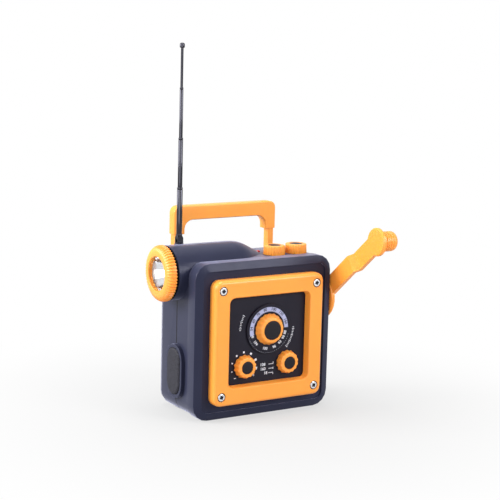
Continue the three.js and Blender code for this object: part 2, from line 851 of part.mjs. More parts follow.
// Antenna: a fork that swivels on the case, and tubes that slide into each other
const pivotHeight = swivelThick + pivotRise;
const firstTubeStart = antennaSeat + pivotHeight + pivotRise + gap;

function crossPin(radius, half, at) {
  return rod(radius, -half, half, smallRound).rotateX(quarterTurn).translate(0, 0, at);
}

function antennaFork() {
  const half = forkWidth / 2;
  const foot = join(rod(swivelRadius, 0, swivelThick), rod(studRadius, -studLength, overrun, smallRound));
  const prongs = join(
    box([-half, half], [-half, half], [swivelThick - gap, pivotHeight]),
    crossPin(half, half, pivotHeight));
  const top = pivotHeight + forkWidth;
  const slot = box([-forkWidth, forkWidth], [-forkGap / 2, forkGap / 2], [swivelThick, top]);
  return join(cut(join(foot, prongs), slot), crossPin(pivotRadius, half - gap, pivotHeight));
}

function firstTube() {
  const radius = tubeRadii[0];
  const length = tubeTops[0] - firstTubeStart;
  const half = forkGap / 2 - gap / 2;
  const pivot = -gap - pivotRise;
  const tongue = box([-radius, radius], [-half, half], [pivot, overrun]);
  const bore = rod(radius - tubeWall, tubePlug, length + overrun);
  const barrel = cut(rod(radius, 0, length), bore);
  const eye = crossPin(pivotRise - gap, half, pivot);
  return cut(join(barrel, tongue, eye), crossPin(pivotRadius + gap / 2, radius, pivot));
}

addPiece('antenna_fork', alongY(antennaFork()), chrome, [antennaX, antennaSeat, -antennaDepth]);
addPiece('antenna_tube_1', alongY(firstTube()), chrome, [antennaX, firstTubeStart, -antennaDepth]);
for (let i = 1; i < tubeRadii.length; i++) {
  const radius = tubeRadii[i];
  const start = tubeTops[i - 1] - tubeOverlap;
  const length = tubeTops[i] - start;
  const tipped = turned([
    [0, 0], [radius, 0], [radius, length], [tipRadius, length], [tipRadius, length + tipHeight - tipEdge],
    [tipRadius - tipEdge, length + tipHeight], [0, length + tipHeight],
  ]);
  const last = i === tubeRadii.length - 1;
  const section = last ? tipped : tube(radius, radius - tubeWall, 0, length);
  addPiece(`antenna_tube_${i + 1}`, alongY(section), chrome, [antennaX, start, -antennaDepth]);
}

// Handle: a bow with thinner legs that hang on two pins between the rear shell's ears
function handleBow() {
  const rise = handleTop - stepHeight;
  const section = (width, height, corner, at) => ({ ring: roundedRect(width, height, corner), at });
  const face = handleThick / 2;
  const outer = (inset, at) => (
    section(2 * (handleHalf - inset), 2 * (rise - inset), handleOuterCorner - inset, at));
  const slab = loft([
    outer(handleEdge, -face), outer(0, handleEdge - face), outer(0, face - handleEdge), outer(handleEdge, face),
  ]);
  const room = rise - handleGrip;
  const inner = (grow, at) => (
    section(2 * (handleInner + grow), 2 * (room + grow), handleInnerCorner + grow, at));
  const opening = loft([
    inner(handleEdge, -face - gap), inner(0, handleEdge - face), inner(0, face - handleEdge),
    inner(handleEdge, face + gap),
  ]);
  const below = box(wide, [-farAway, 0], wide);
  return cut(slab, opening, below).translate(0, stepHeight, 0);
}

function handleLeg(side) {
  const half = (legOuter - legInner) / 2;
  const strap = box([-half, half], [hingeHeight, stepHeight + overrun], [-legThick / 2, legThick / 2]);
  const eye = alongX(rod(hingeEyeRadius, -half, half)).translate(0, hingeHeight, -pinSet);
  return join(strap, eye).translate(side * (legInner + half), 0, 0);
}

const pinBore = alongX(rod(hingePinRadius + gap, ...wide, smallRound)).translate(0, hingeHeight, -pinSet);
const handle = cut(join(handleBow(), handleLeg(-1), handleLeg(1)), pinBore);
addPiece('handle', handle, orangePlastic, [0, 0, -handleDepth]);
const pinEnd = earOutside + earThick;
const hingeLine = [0, hingeHeight, -hingeDepth];
addPiece('handle_pin_left', alongX(rod(hingePinRadius, -pinEnd, -earInside, smallRound)), steel, hingeLine);
addPiece('handle_pin_right', alongX(rod(hingePinRadius, earInside, pinEnd, smallRound)), steel, hingeLine);

// Crank: a hub disc and a stepped arm in one piece, made lying along X and then turned into place
function edgedDisc(radius, thick) {
  const rim = radius - armEdge;
  return turned([
    [0, 0], [rim, 0], [radius, armEdge], [radius, thick - armEdge], [rim, thick], [0, thick],
  ], fineRound);
}

// The arm's side view: level, then a slope outwards, then level again
function armStrip() {
  const stepEnd = armStepAt + armStepLength;
  const stepBack = armThick * Math.tan(Math.atan2(armOffset, armStepLength) / 2);
  const shape = new THREE.Shape();
  shape.moveTo(armStart, armSet);
  shape.lineTo(armStepAt, armSet);
  shape.lineTo(stepEnd, armSet + armOffset);
  shape.lineTo(crankReach, armSet + armOffset);
  shape.lineTo(crankReach, armSet + armOffset + armThick);
  shape.lineTo(stepEnd - stepBack, armSet + armOffset + armThick);
  shape.lineTo(armStepAt - stepBack, armSet + armThick);
  shape.lineTo(armStart, armSet + armThick);
  const strip = new THREE.ExtrudeGeometry(shape, { depth: armWidth, bevelEnabled: false });
  return strip.translate(0, 0, -armWidth / 2).rotateX(quarterTurn);
}

function crankArm() {
  const outer = armSet + armOffset;
  const end = edgedDisc(armEndRadius, armThick).translate(crankReach, 0, outer);
  const arm = join(armStrip(), end, edgedDisc(hubRadius, hubThick));
  const shaftHole = rod(shaftRadius + gap / 2, -overrun, hubThick + overrun);
  const pinHole = rod(knobPinRadius + gap / 2, outer + knobPinFloor, outer + armThick + overrun, smallRound);
  return cut(arm, shaftHole, pinHole.translate(crankReach, 0, 0));
}

const onCrank = (geometry) => geometry.rotateY(quarterTurn).rotateX(halfTurn - crankAngle);

function crankKnob() {
  const profile = [[knobPinRadius + gap, 0], [crankKnobRadius - armEdge, 0], [crankKnobRadius, armEdge]];
  for (let i = 0; i < crankGrooves; i++) {
    const at = 2 * armEdge + i * crankGroovePitch;
    profile.push([crankKnobRadius, at], [crankKnobRadius - crankGrooveDepth, at + crankGrooveWidth / 2]);
    profile.push([crankKnobRadius, at + crankGrooveWidth]);
  }
  for (const { inset, rise } of quarterRound(crankKnobRound, crankKnobRound, softSteps)) {
    profile.push([crankKnobRadius - inset, crankKnobLength - crankKnobRound + rise]);
  }
  const seat = crankKnobLength - overrun - gap;
  profile.push([knobPinHead + gap, crankKnobLength], [knobPinHead + gap, seat]);
  profile.push([knobPinRadius + gap, seat], [knobPinRadius + gap, 0]);
  return turned(profile);
}

function crankKnobPin() {
  const headBack = crankKnobLength - overrun;
  const end = knobPinFloor - armThick;
  return turned([
    [0, end], [knobPinRadius, end], [knobPinRadius, headBack], [knobPinHead, headBack],
    [knobPinHead, crankKnobLength - gap], [0, crankKnobLength],
  ], smallRound);
}

addPiece('crank_arm', onCrank(crankArm()), orangePlastic, [hubFace, crankHeight, -crankDepth]);
const knobPlace = [
  hubFace + armSet + armOffset + armThick + gap,
  crankHeight + crankReach * Math.sin(crankAngle),
  crankReach * Math.cos(crankAngle) - crankDepth,
];
addPiece('crank_knob', alongX(crankKnob()), orangePlastic, knobPlace);
addPiece('crank_knob_pin', alongX(crankKnobPin()), steel, knobPlace);
const headStart = hubFace + hubThick + gap;
const crankShaft = turned([
  [0, driveGearX], [shaftRadius, driveGearX], [shaftRadius, headStart], [shaftHeadRadius, headStart],
  [shaftHeadRadius, headStart + shaftHeadThick / 2], [shaftRadius, headStart + shaftHeadThick],
  [0, headStart + shaftHeadThick],
]);
addPiece('crank_shaft', alongX(crankShaft), steel, crankPlace);
const bushInner = shaftRadius + gap / 2;
const bushStart = sideInner - gap;
const crankBush = turned([
  [bushInner, bushStart - bushFlangeThick], [bushFlange, bushStart - bushFlangeThick], [bushFlange, bushStart],
  [bushRadius, bushStart], [bushRadius, caseHalf + bossProud], [bushInner, caseHalf + bossProud],
  [bushInner, bushStart - bushFlangeThick],
]);
addPiece('crank_bush', alongX(crankBush), brass, crankPlace);

// Gear train between the side wall and the gear plate, each axis at mesh distance from the last
function meshed(from, bearing, teethSum) {
  const reach = gearModule * teethSum / 2;
  return { y: from.y + reach * Math.sin(bearing), depth: from.depth + reach * Math.cos(bearing) };
}

const idlerAt = meshed({ y: crankHeight, depth: crankDepth }, idlerBearing, driveTeeth + idlerPinionTeeth);
const dynamoAt = meshed(idlerAt, dynamoBearing, idlerTeeth + dynamoTeeth);
const idlerEnd = driveGearX + driveGearThick;

// A gear's outline is drawn as seen from the right, with the back of the radio on its right
const gearWheel = (teeth, facing, thick) => alongX(prism(toothed(teeth, facing), 0, thick));

const driveBore = alongX(rod(shaftRadius + gap / 2, -overrun, driveGearThick + overrun));
const driveGear = cut(gearWheel(driveTeeth, idlerBearing, driveGearThick), driveBore);
addPiece('drive_gear', driveGear, whiteNylon, [driveGearX, crankHeight, -crankDepth]);

function idlerGear() {
  const length = idlerEnd - idlerGearX;
  const pinionFacing = idlerBearing + halfTurn + Math.PI / idlerPinionTeeth;
  const pinion = gearWheel(idlerPinionTeeth, pinionFacing, length);
  const wheel = gearWheel(idlerTeeth, dynamoBearing, idlerGearThick);
  return cut(join(pinion, wheel), alongX(rod(axleRadius + gap, -overrun, length + overrun, smallRound)));
}

function dynamoPinion() {
  const facing = dynamoBearing + halfTurn + Math.PI / dynamoTeeth;
  const shaft = alongX(rod(axleRadius, idlerGearThick - dynamoShaftLength, idlerGearThick, smallRound));
  return join(gearWheel(dynamoTeeth, facing, idlerGearThick), shaft);
}

addPiece('idler_gear', idlerGear(), whiteNylon, [idlerGearX, idlerAt.y, -idlerAt.depth]);
addPiece('dynamo_pinion', dynamoPinion(), brass, [idlerGearX, dynamoAt.y, -dynamoAt.depth]);

// Gear plate: three posts stand it off the side wall, and the idler's axle is fixed in it
function gearPlate() {
  const top = crankHeight + gearPlateMargin;
  const bottom = dynamoAt.y - dynamoRadius;
  const front = crankDepth - gearPlateMargin;
  const back = seamDepth - gap;
  const reach = sideInner - gap - gearPlateX;
  const plate = box([-gearPlateThick, 0], [bottom, top], [-back, -front]);
  const corners = [[top, back, -1, -1], [bottom, front, 1, 1], [bottom, back, 1, -1]];
  const posts = corners.map(([y, depth, sideY, sideDepth]) => {
    const post = alongX(rod(postRadius, -gearPlateThick, reach, smallRound));
    return post.translate(0, y + sideY * postRadius, -depth - sideDepth * postRadius);
  });
  const axle = alongX(rod(axleRadius, -gearPlateThick, reach, smallRound));
  axle.translate(0, idlerAt.y, -idlerAt.depth);
  const shaftHole = alongX(rod(axleRadius + gap, -gearPlateThick - overrun, overrun, smallRound));
  return cut(join(plate, ...posts, axle), shaftHole.translate(0, dynamoAt.y, -dynamoAt.depth));
}

addPiece('gear_plate', gearPlate(), steel, [gearPlateX, 0, 0]);
const dynamoBore = rod(axleRadius + gap, -dynamoShaftLength, overrun, smallRound);
const dynamo = alongX(cut(rod(dynamoRadius, -dynamoLength, 0), dynamoBore));
addPiece('dynamo', dynamo, steel, [gearPlateX - gearPlateThick - gap, dynamoAt.y, -dynamoAt.depth]);

// Loudspeaker, with its cone open to the slots
const speaker = turned([
  [0, 0], [speakerBasket, 0], [speakerBasket, magnetThick],
  [speakerCone + speakerLip, speakerDepth - speakerLip],
  [speakerRadius, speakerDepth - speakerLip], [speakerRadius, speakerDepth], [speakerCone, speakerDepth],
  [dustCap, speakerDish], [0, speakerDish + dustCapRise],
]);
addPiece('loudspeaker', speaker.rotateY(halfTurn), steel, [0, speakerHeight, speakerDepth + rearInner + gap]);

// Battery bay: an open tray, three cells and a door hinged along its lower edge
function batteryTray() {
  const outer = block(bayWidth + 2 * trayWall, bayTall + 2 * trayWall, bayCorner + trayWall, 0, bayDepth);
  return cut(outer, prism(roundedRect(bayWidth, bayTall, bayCorner), -overrun, bayDepth - trayWall));
}

function batteryCell(side) {
  const half = cellLength / 2;
  const cell = turned([
    [0, -half], [cellRadius, -half], [cellRadius, half], [cellNubRadius, half], [cellNubRadius, half + cellNub],
    [0, half + cellNub],
  ], smallRound);
  return side > 0 ? alongX(cell) : leftwards(cell);
}

function batteryDoor() {
  const plate = prism(roundedRect(bayWidth - 2 * gap, bayTall - 2 * gap, bayCorner - gap), 0, doorThick);
  const latchTop = bayTall / 2 - latchDrop;
  const half = latchWidth / 2;
  return cut(plate, box([-half, half], [latchTop - latchHeight, latchTop], [-overrun, latchDepth]));
}

const trayFront = rearInner + gap;
const cellPitch = (bayTall - 2 * cellRadius - 2 * gap) / (cellCount - 1);
addPiece('battery_tray', batteryTray(), slatePlastic, [0, bayHeight, trayFront]);
for (let i = 0; i < cellCount; i++) {
  const y = bayHeight + (i - (cellCount - 1) / 2) * cellPitch;
  const depth = trayFront + bayDepth - trayWall - gap - cellRadius;
  addPiece(`battery_cell_${i + 1}`, batteryCell(i % 2 ? 1 : -1), cellWrap, [0, y, depth]);
}
addPiece('battery_door', batteryDoor(), slatePlastic, [0, bayHeight, -caseDepth]);

// Side sockets: a raised oval housing across the seam, with two sockets under a rubber cover
function jackHousing() {
  const floor = jackProud - jackRecess;
  const recess = jackOval(-jackRim, floor, jackProud + overrun);
  const bores = [-socketSpread, socketSpread].flatMap((y) => [
    rod(socketBore, -jackBack - overrun, jackProud, smallRound).translate(0, y, 0),
    rod(socketRadius + gap, -jackBack - overrun, floor - overrun).translate(0, y, 0),
  ]);
  const outer = join(jackOval(0, -wall - gap, jackProud), jackOval(-wall, -jackBack, 0));
  return leftwards(cut(outer, recess, ...bores));
}

function jackCover() {
  const section = (inset, at) => {
    const width = jackWidth - 2 * (jackRim + gap + inset);
    return { ring: roundedRect(width, jackTall - 2 * (jackRim + gap + inset), width / 2 - gap), at };
  };
  const top = jackRecess - gap;
  return leftwards(loft([section(0, 0), section(0, top), section(coverCrown, top + coverCrown)]));
}

const jackFloorX = -caseHalf - jackProud + jackRecess;
addPiece('jack_housing', jackHousing(), slatePlastic, jackPlace);
addPiece('jack_cover', jackCover(), blackRubber, [jackFloorX - gap, jackHeight, -jackDepth]);
const sockets = { power_socket: socketSpread, phone_socket: -socketSpread };
for (const [name, offset] of Object.entries(sockets)) {
  const socket = leftwards(tube(socketRadius, socketBore, -socketLength, 0, smallRound));
  addPiece(name, socket, steel, [jackFloorX + overrun + gap, jackHeight + offset, -jackDepth]);
}

// Ferrite aerial rod, lying on the bottom of the case
const ferrite = alongX(rod(ferriteRadius, -ferriteLength / 2, ferriteLength / 2));
addPiece('ferrite_rod', ferrite, ferriteGrey, [ferriteX, ferriteRadius + gap - sideInner, -ferriteDepth]);

// Stand the radio up: the origin is under the middle of the flange's flat lower edge
const restDepth = (rimSet + rimEdge + flangeThick) / 2;
body.rotation.x = quarterTurn;
body.position.set(0, -restDepth, flangeSide / 2);

const radio = new THREE.Group();
radio.add(body);
export default radio;
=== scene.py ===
# A hand cranked flashlight radio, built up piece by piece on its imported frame, in metres.
import math

import bmesh
import bpy
from mathutils import Euler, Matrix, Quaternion, Vector


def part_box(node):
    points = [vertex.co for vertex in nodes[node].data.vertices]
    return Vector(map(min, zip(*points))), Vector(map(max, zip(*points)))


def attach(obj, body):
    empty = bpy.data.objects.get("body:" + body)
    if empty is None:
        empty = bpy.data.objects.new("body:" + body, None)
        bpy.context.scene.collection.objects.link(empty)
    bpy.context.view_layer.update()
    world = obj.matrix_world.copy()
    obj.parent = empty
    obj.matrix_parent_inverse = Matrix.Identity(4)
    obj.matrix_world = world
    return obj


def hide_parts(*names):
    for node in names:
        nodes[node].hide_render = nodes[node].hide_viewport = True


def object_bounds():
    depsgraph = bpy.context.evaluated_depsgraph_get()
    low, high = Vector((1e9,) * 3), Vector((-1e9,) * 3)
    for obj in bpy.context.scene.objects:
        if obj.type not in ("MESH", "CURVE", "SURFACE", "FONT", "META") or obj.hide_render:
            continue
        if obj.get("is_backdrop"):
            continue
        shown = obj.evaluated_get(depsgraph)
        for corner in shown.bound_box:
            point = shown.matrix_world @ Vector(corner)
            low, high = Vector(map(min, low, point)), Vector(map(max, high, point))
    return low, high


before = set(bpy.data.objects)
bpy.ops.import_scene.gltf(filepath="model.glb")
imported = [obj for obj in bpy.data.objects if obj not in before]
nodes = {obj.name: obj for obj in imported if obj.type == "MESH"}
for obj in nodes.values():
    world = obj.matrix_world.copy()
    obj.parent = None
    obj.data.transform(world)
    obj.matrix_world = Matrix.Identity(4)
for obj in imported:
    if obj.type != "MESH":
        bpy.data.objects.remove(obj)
cad_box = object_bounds()
mm = 0.001

# Camera, a little above the radio and to its left, where both the dial and the lamp are seen.
# It looks at the upper part of the case and leans by a degree and a half.
camera_place = Vector((-664.1, -1059.05, 360.3)) * mm
camera_target = Vector((-16.407, -6.75, 147.485)) * mm
camera_lean = math.radians(1.453)

bpy.ops.object.camera_add(location=camera_place)
camera = bpy.context.object
camera.name = "camera"
camera.data.lens = 105
camera.data.sensor_width = 36
camera.data.clip_start = 0.05
camera.data.clip_end = 20
look = (camera_target - camera_place).to_track_quat("-Z", "Y")
camera.rotation_euler = (look @ Quaternion((0, 0, 1), camera_lean)).to_euler()
bpy.context.scene.camera = camera

# Studio: a pale floor and a white backdrop, under four large soft lamps. The camera and what
# mirrors it see the floor as white, apart from the radio's own shadow close to it.
studio_grey = 0.16
shadow_share = 0.4
shadow_reach = 0.34
# Each lamp has its place and its width in metres, and its power in watts.
lamps = {
    "key_lamp": ((0.9, -1.45, 0.85), 0.8, 23),
    "side_lamp": ((-1.5, 0.6, 0.85), 1.0, 46),
    "fill_lamp": ((-1.3, -1.3, 0.6), 1.0, 15),
    "top_lamp": ((0.0, 0.1, 1.7), 1.0, 23),
}

bpy.ops.mesh.primitive_plane_add(size=12, location=(0, 0, -0.2 * mm))
floor = bpy.context.object
floor.name = "studio_floor"
bpy.ops.object.transform_apply(location=True, rotation=True, scale=True)
floor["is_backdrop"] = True
for name, (place, size, power) in lamps.items():
    bpy.ops.object.light_add(type="AREA", location=place)
    lamp = bpy.context.object
    lamp.name = name
    lamp.data.size = size
    lamp.data.energy = power
    lamp.rotation_euler = (Vector((0, 0, 0.1)) - Vector(place)).to_track_quat("-Z", "Y").to_euler()


def background_rays(tree):
    """1 for the rays of the camera, of mirrors and of glass, and 0 for the rest"""
    rays = tree.nodes.new("ShaderNodeLightPath")
    last = rays.outputs["Is Camera Ray"]
    for kind in ("Is Glossy Ray", "Is Transmission Ray"):
        either = tree.nodes.new("ShaderNodeMath")
        either.operation = "MAXIMUM"
        tree.links.new(last, either.inputs[0])
        tree.links.new(rays.outputs[kind], either.inputs[1])
        last = either.outputs[0]
    return last


def mixed(tree, share, first, second):
    """Two shaders mixed by a share"""
    mix = tree.nodes.new("ShaderNodeMixShader")
    tree.links.new(share, mix.inputs["Fac"])
    tree.links.new(first, mix.inputs[1])
    tree.links.new(second, mix.inputs[2])
    return mix.outputs[0]


paper = bpy.data.materials.new("white_paper")
paper.use_nodes = True
tree = paper.node_tree
tree.nodes.remove(tree.nodes["Principled BSDF"])
sheet = tree.nodes.new("ShaderNodeBsdfDiffuse")
sheet.inputs["Color"].default_value = (0.4, 0.4, 0.4, 1)
white = tree.nodes.new("ShaderNodeEmission")
place = tree.nodes.new("ShaderNodeTexCoord")
reach = tree.nodes.new("ShaderNodeVectorMath")
reach.operation = "LENGTH"
near = tree.nodes.new("ShaderNodeMapRange")
near.interpolation_type = "SMOOTHSTEP"
near.inputs["From Max"].default_value = shadow_reach
near.inputs["To Min"].default_value = 1 - shadow_share
tree.links.new(place.outputs["Object"], reach.inputs[0])
tree.links.new(reach.outputs["Value"], near.inputs["Value"])
shaded = mixed(tree, near.outputs["Result"], sheet.outputs[0], white.outputs[0])
surface = mixed(tree, background_rays(tree), sheet.outputs[0], shaded)
tree.links.new(surface, tree.nodes["Material Output"].inputs["Surface"])
floor.data.materials.append(paper)

world = bpy.data.worlds.new("studio")
bpy.context.scene.world = world
world.use_nodes = True
tree = world.node_tree
air = tree.nodes["Background"]
air.inputs["Color"].default_value = (1, 1, 1, 1)
air.inputs["Strength"].default_value = studio_grey
backdrop = tree.nodes.new("ShaderNodeBackground")
backdrop.inputs["Color"].default_value = (1, 1, 1, 1)
surface = mixed(tree, background_rays(tree), air.outputs[0], backdrop.outputs[0])
tree.links.new(surface, tree.nodes["World Output"].inputs["Surface"])
bpy.context.scene.view_settings.view_transform = "Standard"

# Rear shell: dark slate plastic, moulded in one with half the lamp barrel, the loudspeaker slots
# and the ears for the handle. It closes against the front shell along a fine seam.
slate = (0.0185, 0.021, 0.044)
edge_round = 0.35 * mm


def new_finish(name, colour, roughness, metallic=0.0):
    """A material, its node tree, its shader and the object's own coordinates"""
    finish = bpy.data.materials.new(name)
    finish.use_nodes = True
    tree = finish.node_tree
    shader = tree.nodes["Principled BSDF"]
    shader.inputs["Base Color"].default_value = (*colour, 1)
    shader.inputs["Roughness"].default_value = roughness
    shader.inputs["Metallic"].default_value = metallic
    place = tree.nodes.new("ShaderNodeTexCoord").outputs["Object"]
    return finish, tree, shader, place


def noise(tree, place, scale, detail=2.0):
    """A cloud pattern of the given fineness"""
    cloud = tree.nodes.new("ShaderNodeTexNoise")
    cloud.inputs["Scale"].default_value = scale
    cloud.inputs["Detail"].default_value = detail
    tree.links.new(place, cloud.inputs["Vector"])
    return cloud.outputs["Fac"]


def ramp(tree, value, stops):
    """Colours or levels that follow a value, from a list of (position, colour)"""
    band = tree.nodes.new("ShaderNodeValToRGB")
    band.color_ramp.elements[0].position = stops[0][0]
    band.color_ramp.elements[0].color = (*stops[0][1], 1)
    band.color_ramp.elements[1].position = stops[-1][0]
    band.color_ramp.elements[1].color = (*stops[-1][1], 1)
    for position, colour in stops[1:-1]:
        band.color_ramp.elements.new(position).color = (*colour, 1)
    tree.links.new(value, band.inputs["Fac"])
    return band.outputs["Color"]


def relief(tree, shader, height, depth):
    """A bump of the given depth in metres on the shader's normal"""
    bump = tree.nodes.new("ShaderNodeBump")
    bump.inputs["Distance"].default_value = depth
    tree.links.new(height, bump.inputs["Height"])
    tree.links.new(bump.outputs["Normal"], shader.inputs["Normal"])


def moulded(name, colour, roughness, drift=0.1, grain=1800, depth=0.02 * mm, shift=0.08, shine=0.5,
            tint=(1, 1, 1)):
    """Moulded plastic: a fine skin grain, with its shade and gloss drifting slowly over it"""
    finish, tree, shader, place = new_finish(name, colour, roughness)
    shader.inputs["Specular IOR Level"].default_value = shine
    shader.inputs["Specular Tint"].default_value = (*tint, 1)
    low = tuple(c * (1 - drift) for c in colour)
    high = tuple(min(1, c * (1 + drift)) for c in colour)
    tone = ramp(tree, noise(tree, place, 28, 4), [(0.3, low), (0.7, high)])
    tree.links.new(tone, shader.inputs["Base Color"])
    levels = [(0.3, (roughness - shift,) * 3), (0.7, (roughness + shift,) * 3)]
    gloss = ramp(tree, noise(tree, place, 160, 3), levels)
    tree.links.new(gloss, shader.inputs["Roughness"])
    relief(tree, shader, noise(tree, place, grain, 2), depth)
    return finish


slate_plastic = moulded("slate_plastic", slate, 0.34, grain=1500, depth=0.01 * mm, shift=0.03, shine=0.18,
                         tint=(0.85, 0.85, 1.0))
slate_shader = slate_plastic.node_tree.nodes["Principled BSDF"]
slate_shader.inputs["Sheen Weight"].default_value = 0.5
slate_shader.inputs["Sheen Roughness"].default_value = 0.35
slate_shader.inputs["Sheen Tint"].default_value = (0.68, 0.7, 1, 1)


def bare():
    """Object mode, with nothing selected"""
    if bpy.context.object and bpy.context.object.mode != "OBJECT":
        bpy.ops.object.mode_set(mode="OBJECT")
    bpy.ops.object.select_all(action="DESELECT")


def hold(piece):
    """Only this piece selected and active"""
    bare()
    piece.hide_set(False)
    piece.select_set(True)
    bpy.context.view_layer.objects.active = piece


def smooth(piece, angle=38):
    """Curves shaded smooth, and edges over the angle kept sharp"""
    hold(piece)
    bpy.ops.object.shade_smooth_by_angle(angle=math.radians(angle))


def apply_all(piece):
    """Every modifier on the piece is applied"""
    hold(piece)
    for modifier in list(piece.modifiers):
        bpy.ops.object.modifier_apply(modifier=modifier.name)


def soften(piece, width, segments=2, angle=38):
    """Its sharp edges rounded by a bevel, and its shading evened out"""
    rounding = piece.modifiers.new("rounding", "BEVEL")
    rounding.width = width
    rounding.segments = segments
    rounding.limit_method = "ANGLE"
    rounding.angle_limit = math.radians(angle)
    rounding.use_clamp_overlap = True
    rounding.harden_normals = False
    even = piece.modifiers.new("even", "WEIGHTED_NORMAL")
    even.keep_sharp = True
    even.weight = 80
    apply_all(piece)


def refined(node, width=edge_round, segments=2, angle=38):
    """A piece on a CAD solid's own form, merged, with fine rounded edges and smooth curves"""
    piece = bpy.data.objects.new(node + "_form", nodes[node].data.copy())
    bpy.context.scene.collection.objects.link(piece)
    hold(piece)
    bpy.ops.mesh.customdata_custom_splitnormals_clear()
    bpy.ops.object.mode_set(mode="EDIT")
    bpy.ops.mesh.select_all(action="SELECT")
    bpy.ops.mesh.remove_doubles(threshold=0.002 * mm)
    bpy.ops.mesh.dissolve_limited(angle_limit=math.radians(0.4))
    bpy.ops.object.mode_set(mode="OBJECT")
    smooth(piece, angle)
    soften(piece, width, segments, angle)
    return piece


def fit(piece, body, finish, *stands_for, slot=None):
    """The finished piece on its body, in place of the solids that it stands for"""
    piece.data.materials.clear()
    piece.data.materials.append(finish)
    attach(piece, body)
    if stands_for:
        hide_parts(*stands_for)


def paint(finish, *names):
    """A finish on CAD pieces whose own form is right"""
    for name in names:
        nodes[name].data.materials.clear()
        nodes[name].data.materials.append(finish)


def seamed(finish, name, seam, width, shade):
    """The finish with a dark line painted along a seam across Y, as shade in its groove"""
    finish = finish.copy()
    finish.name = name
    tree = finish.node_tree
    shader = tree.nodes["Principled BSDF"]
    plain = shader.inputs["Base Color"].links[0].from_socket
    axes = tree.nodes.new("ShaderNodeSeparateXYZ")
    tree.links.new(tree.nodes["Texture Coordinate"].outputs["Object"], axes.inputs["Vector"])
    inside = tree.nodes.new("ShaderNodeMath")
    inside.operation = "COMPARE"
    inside.inputs[1].default_value = seam
    inside.inputs[2].default_value = width / 2
    tree.links.new(axes.outputs["Y"], inside.inputs[0])
    mix = tree.nodes.new("ShaderNodeMix")
    mix.data_type = "RGBA"
    mix.inputs["B"].default_value = (*shade, 1)
    tree.links.new(inside.outputs[0], mix.inputs["Factor"])
    tree.links.new(plain, mix.inputs["A"])
    tree.links.new(mix.outputs["Result"], shader.inputs["Base Color"])
    return finish


seam_place = (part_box("rear_shell")[0].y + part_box("front_shell")[1].y) / 2
seam_width = 1.6 * mm
# The seam's groove is drawn as a near black band: painted shade where the two shells meet.
painted_seam_shade = (0.001, 0.001, 0.002)
shell_plastic = seamed(slate_plastic, "shell_plastic", seam_place, seam_width, painted_seam_shade)
rear_shell = refined("rear_shell")
fit(rear_shell, "case", shell_plastic, "rear_shell", slot="slate_plastic")

# Front shell: the other half of the case, moulded in the same slate plastic, with the square flange
# round the face and the lamp barrel's nose sloping into the top.
front_shell = refined("front_shell")
fit(front_shell, "case", shell_plastic, "front_shell", slot="slate_plastic")

# What turns behind the side wall: the drive gear on the crank's shaft, the idler, and the dynamo's
# brass pinion, held between the wall and a steel plate. Gears are white nylon, the bush is brass.
white_nylon = moulded("white_nylon", (0.8, 0.78, 0.7), 0.5, drift=0.05)


def brushed(name, colour, roughness, stretch=(1, 1, 26), fineness=420):
    """Metal with fine lines along it from turning or rolling"""
    finish, tree, shader, place = new_finish(name, colour, roughness, 1.0)
    lay = tree.nodes.new("ShaderNodeMapping")
    lay.inputs["Scale"].default_value = stretch
    tree.links.new(place, lay.inputs["Vector"])
    lines = noise(tree, lay.outputs["Vector"], fineness, 3)
    levels = [(0.3, (roughness * 0.7,) * 3), (0.7, (roughness * 1.35,) * 3)]
    tree.links.new(ramp(tree, lines, levels), shader.inputs["Roughness"])
    tone = [(0.3, tuple(c * 0.9 for c in colour)), (0.7, colour)]
    tree.links.new(ramp(tree, lines, tone), shader.inputs["Base Color"])
    relief(tree, shader, lines, 0.006 * mm)
    return finish


steel = brushed("steel", (0.55, 0.56, 0.58), 0.34)
brass = brushed("brass", (0.72, 0.52, 0.2), 0.32)
paint(white_nylon, "drive_gear", "idler_gear")
paint(brass, "dynamo_pinion", "crank_bush")
paint(steel, "gear_plate", "dynamo", "crank_knob_pin", "handle_pin_left", "handle_pin_right")

# The circuit board and what the knobs turn: green solder mask with copper tracks under it, a white
# tuning capacitor, and steel cans for the volume control and the switches.
finish, tree, shader, place = new_finish("circuit_board", (0.02, 0.16, 0.05), 0.35)
lay = tree.nodes.new("ShaderNodeMapping")
lay.inputs["Rotation"].default_value = (math.radians(90), 0, 0)
tree.links.new(place, lay.inputs["Vector"])
tracks = tree.nodes.new("ShaderNodeTexBrick")
tracks.inputs["Scale"].default_value = 90
tracks.inputs["Mortar Size"].default_value = 0.06
tracks.inputs["Color1"].default_value = (0.015, 0.13, 0.04, 1)
tracks.inputs["Color2"].default_value = (0.02, 0.17, 0.055, 1)
tracks.inputs["Mortar"].default_value = (0.05, 0.28, 0.11, 1)
tree.links.new(lay.outputs["Vector"], tracks.inputs["Vector"])
tree.links.new(tracks.outputs["Color"], shader.inputs["Base Color"])
relief(tree, shader, tracks.outputs["Fac"], 0.03 * mm)
paint(finish, "circuit_board")
paint(white_nylon, "tuning_capacitor")
paint(steel, "volume_control", "band_switch", "power_switch", "light_switch")

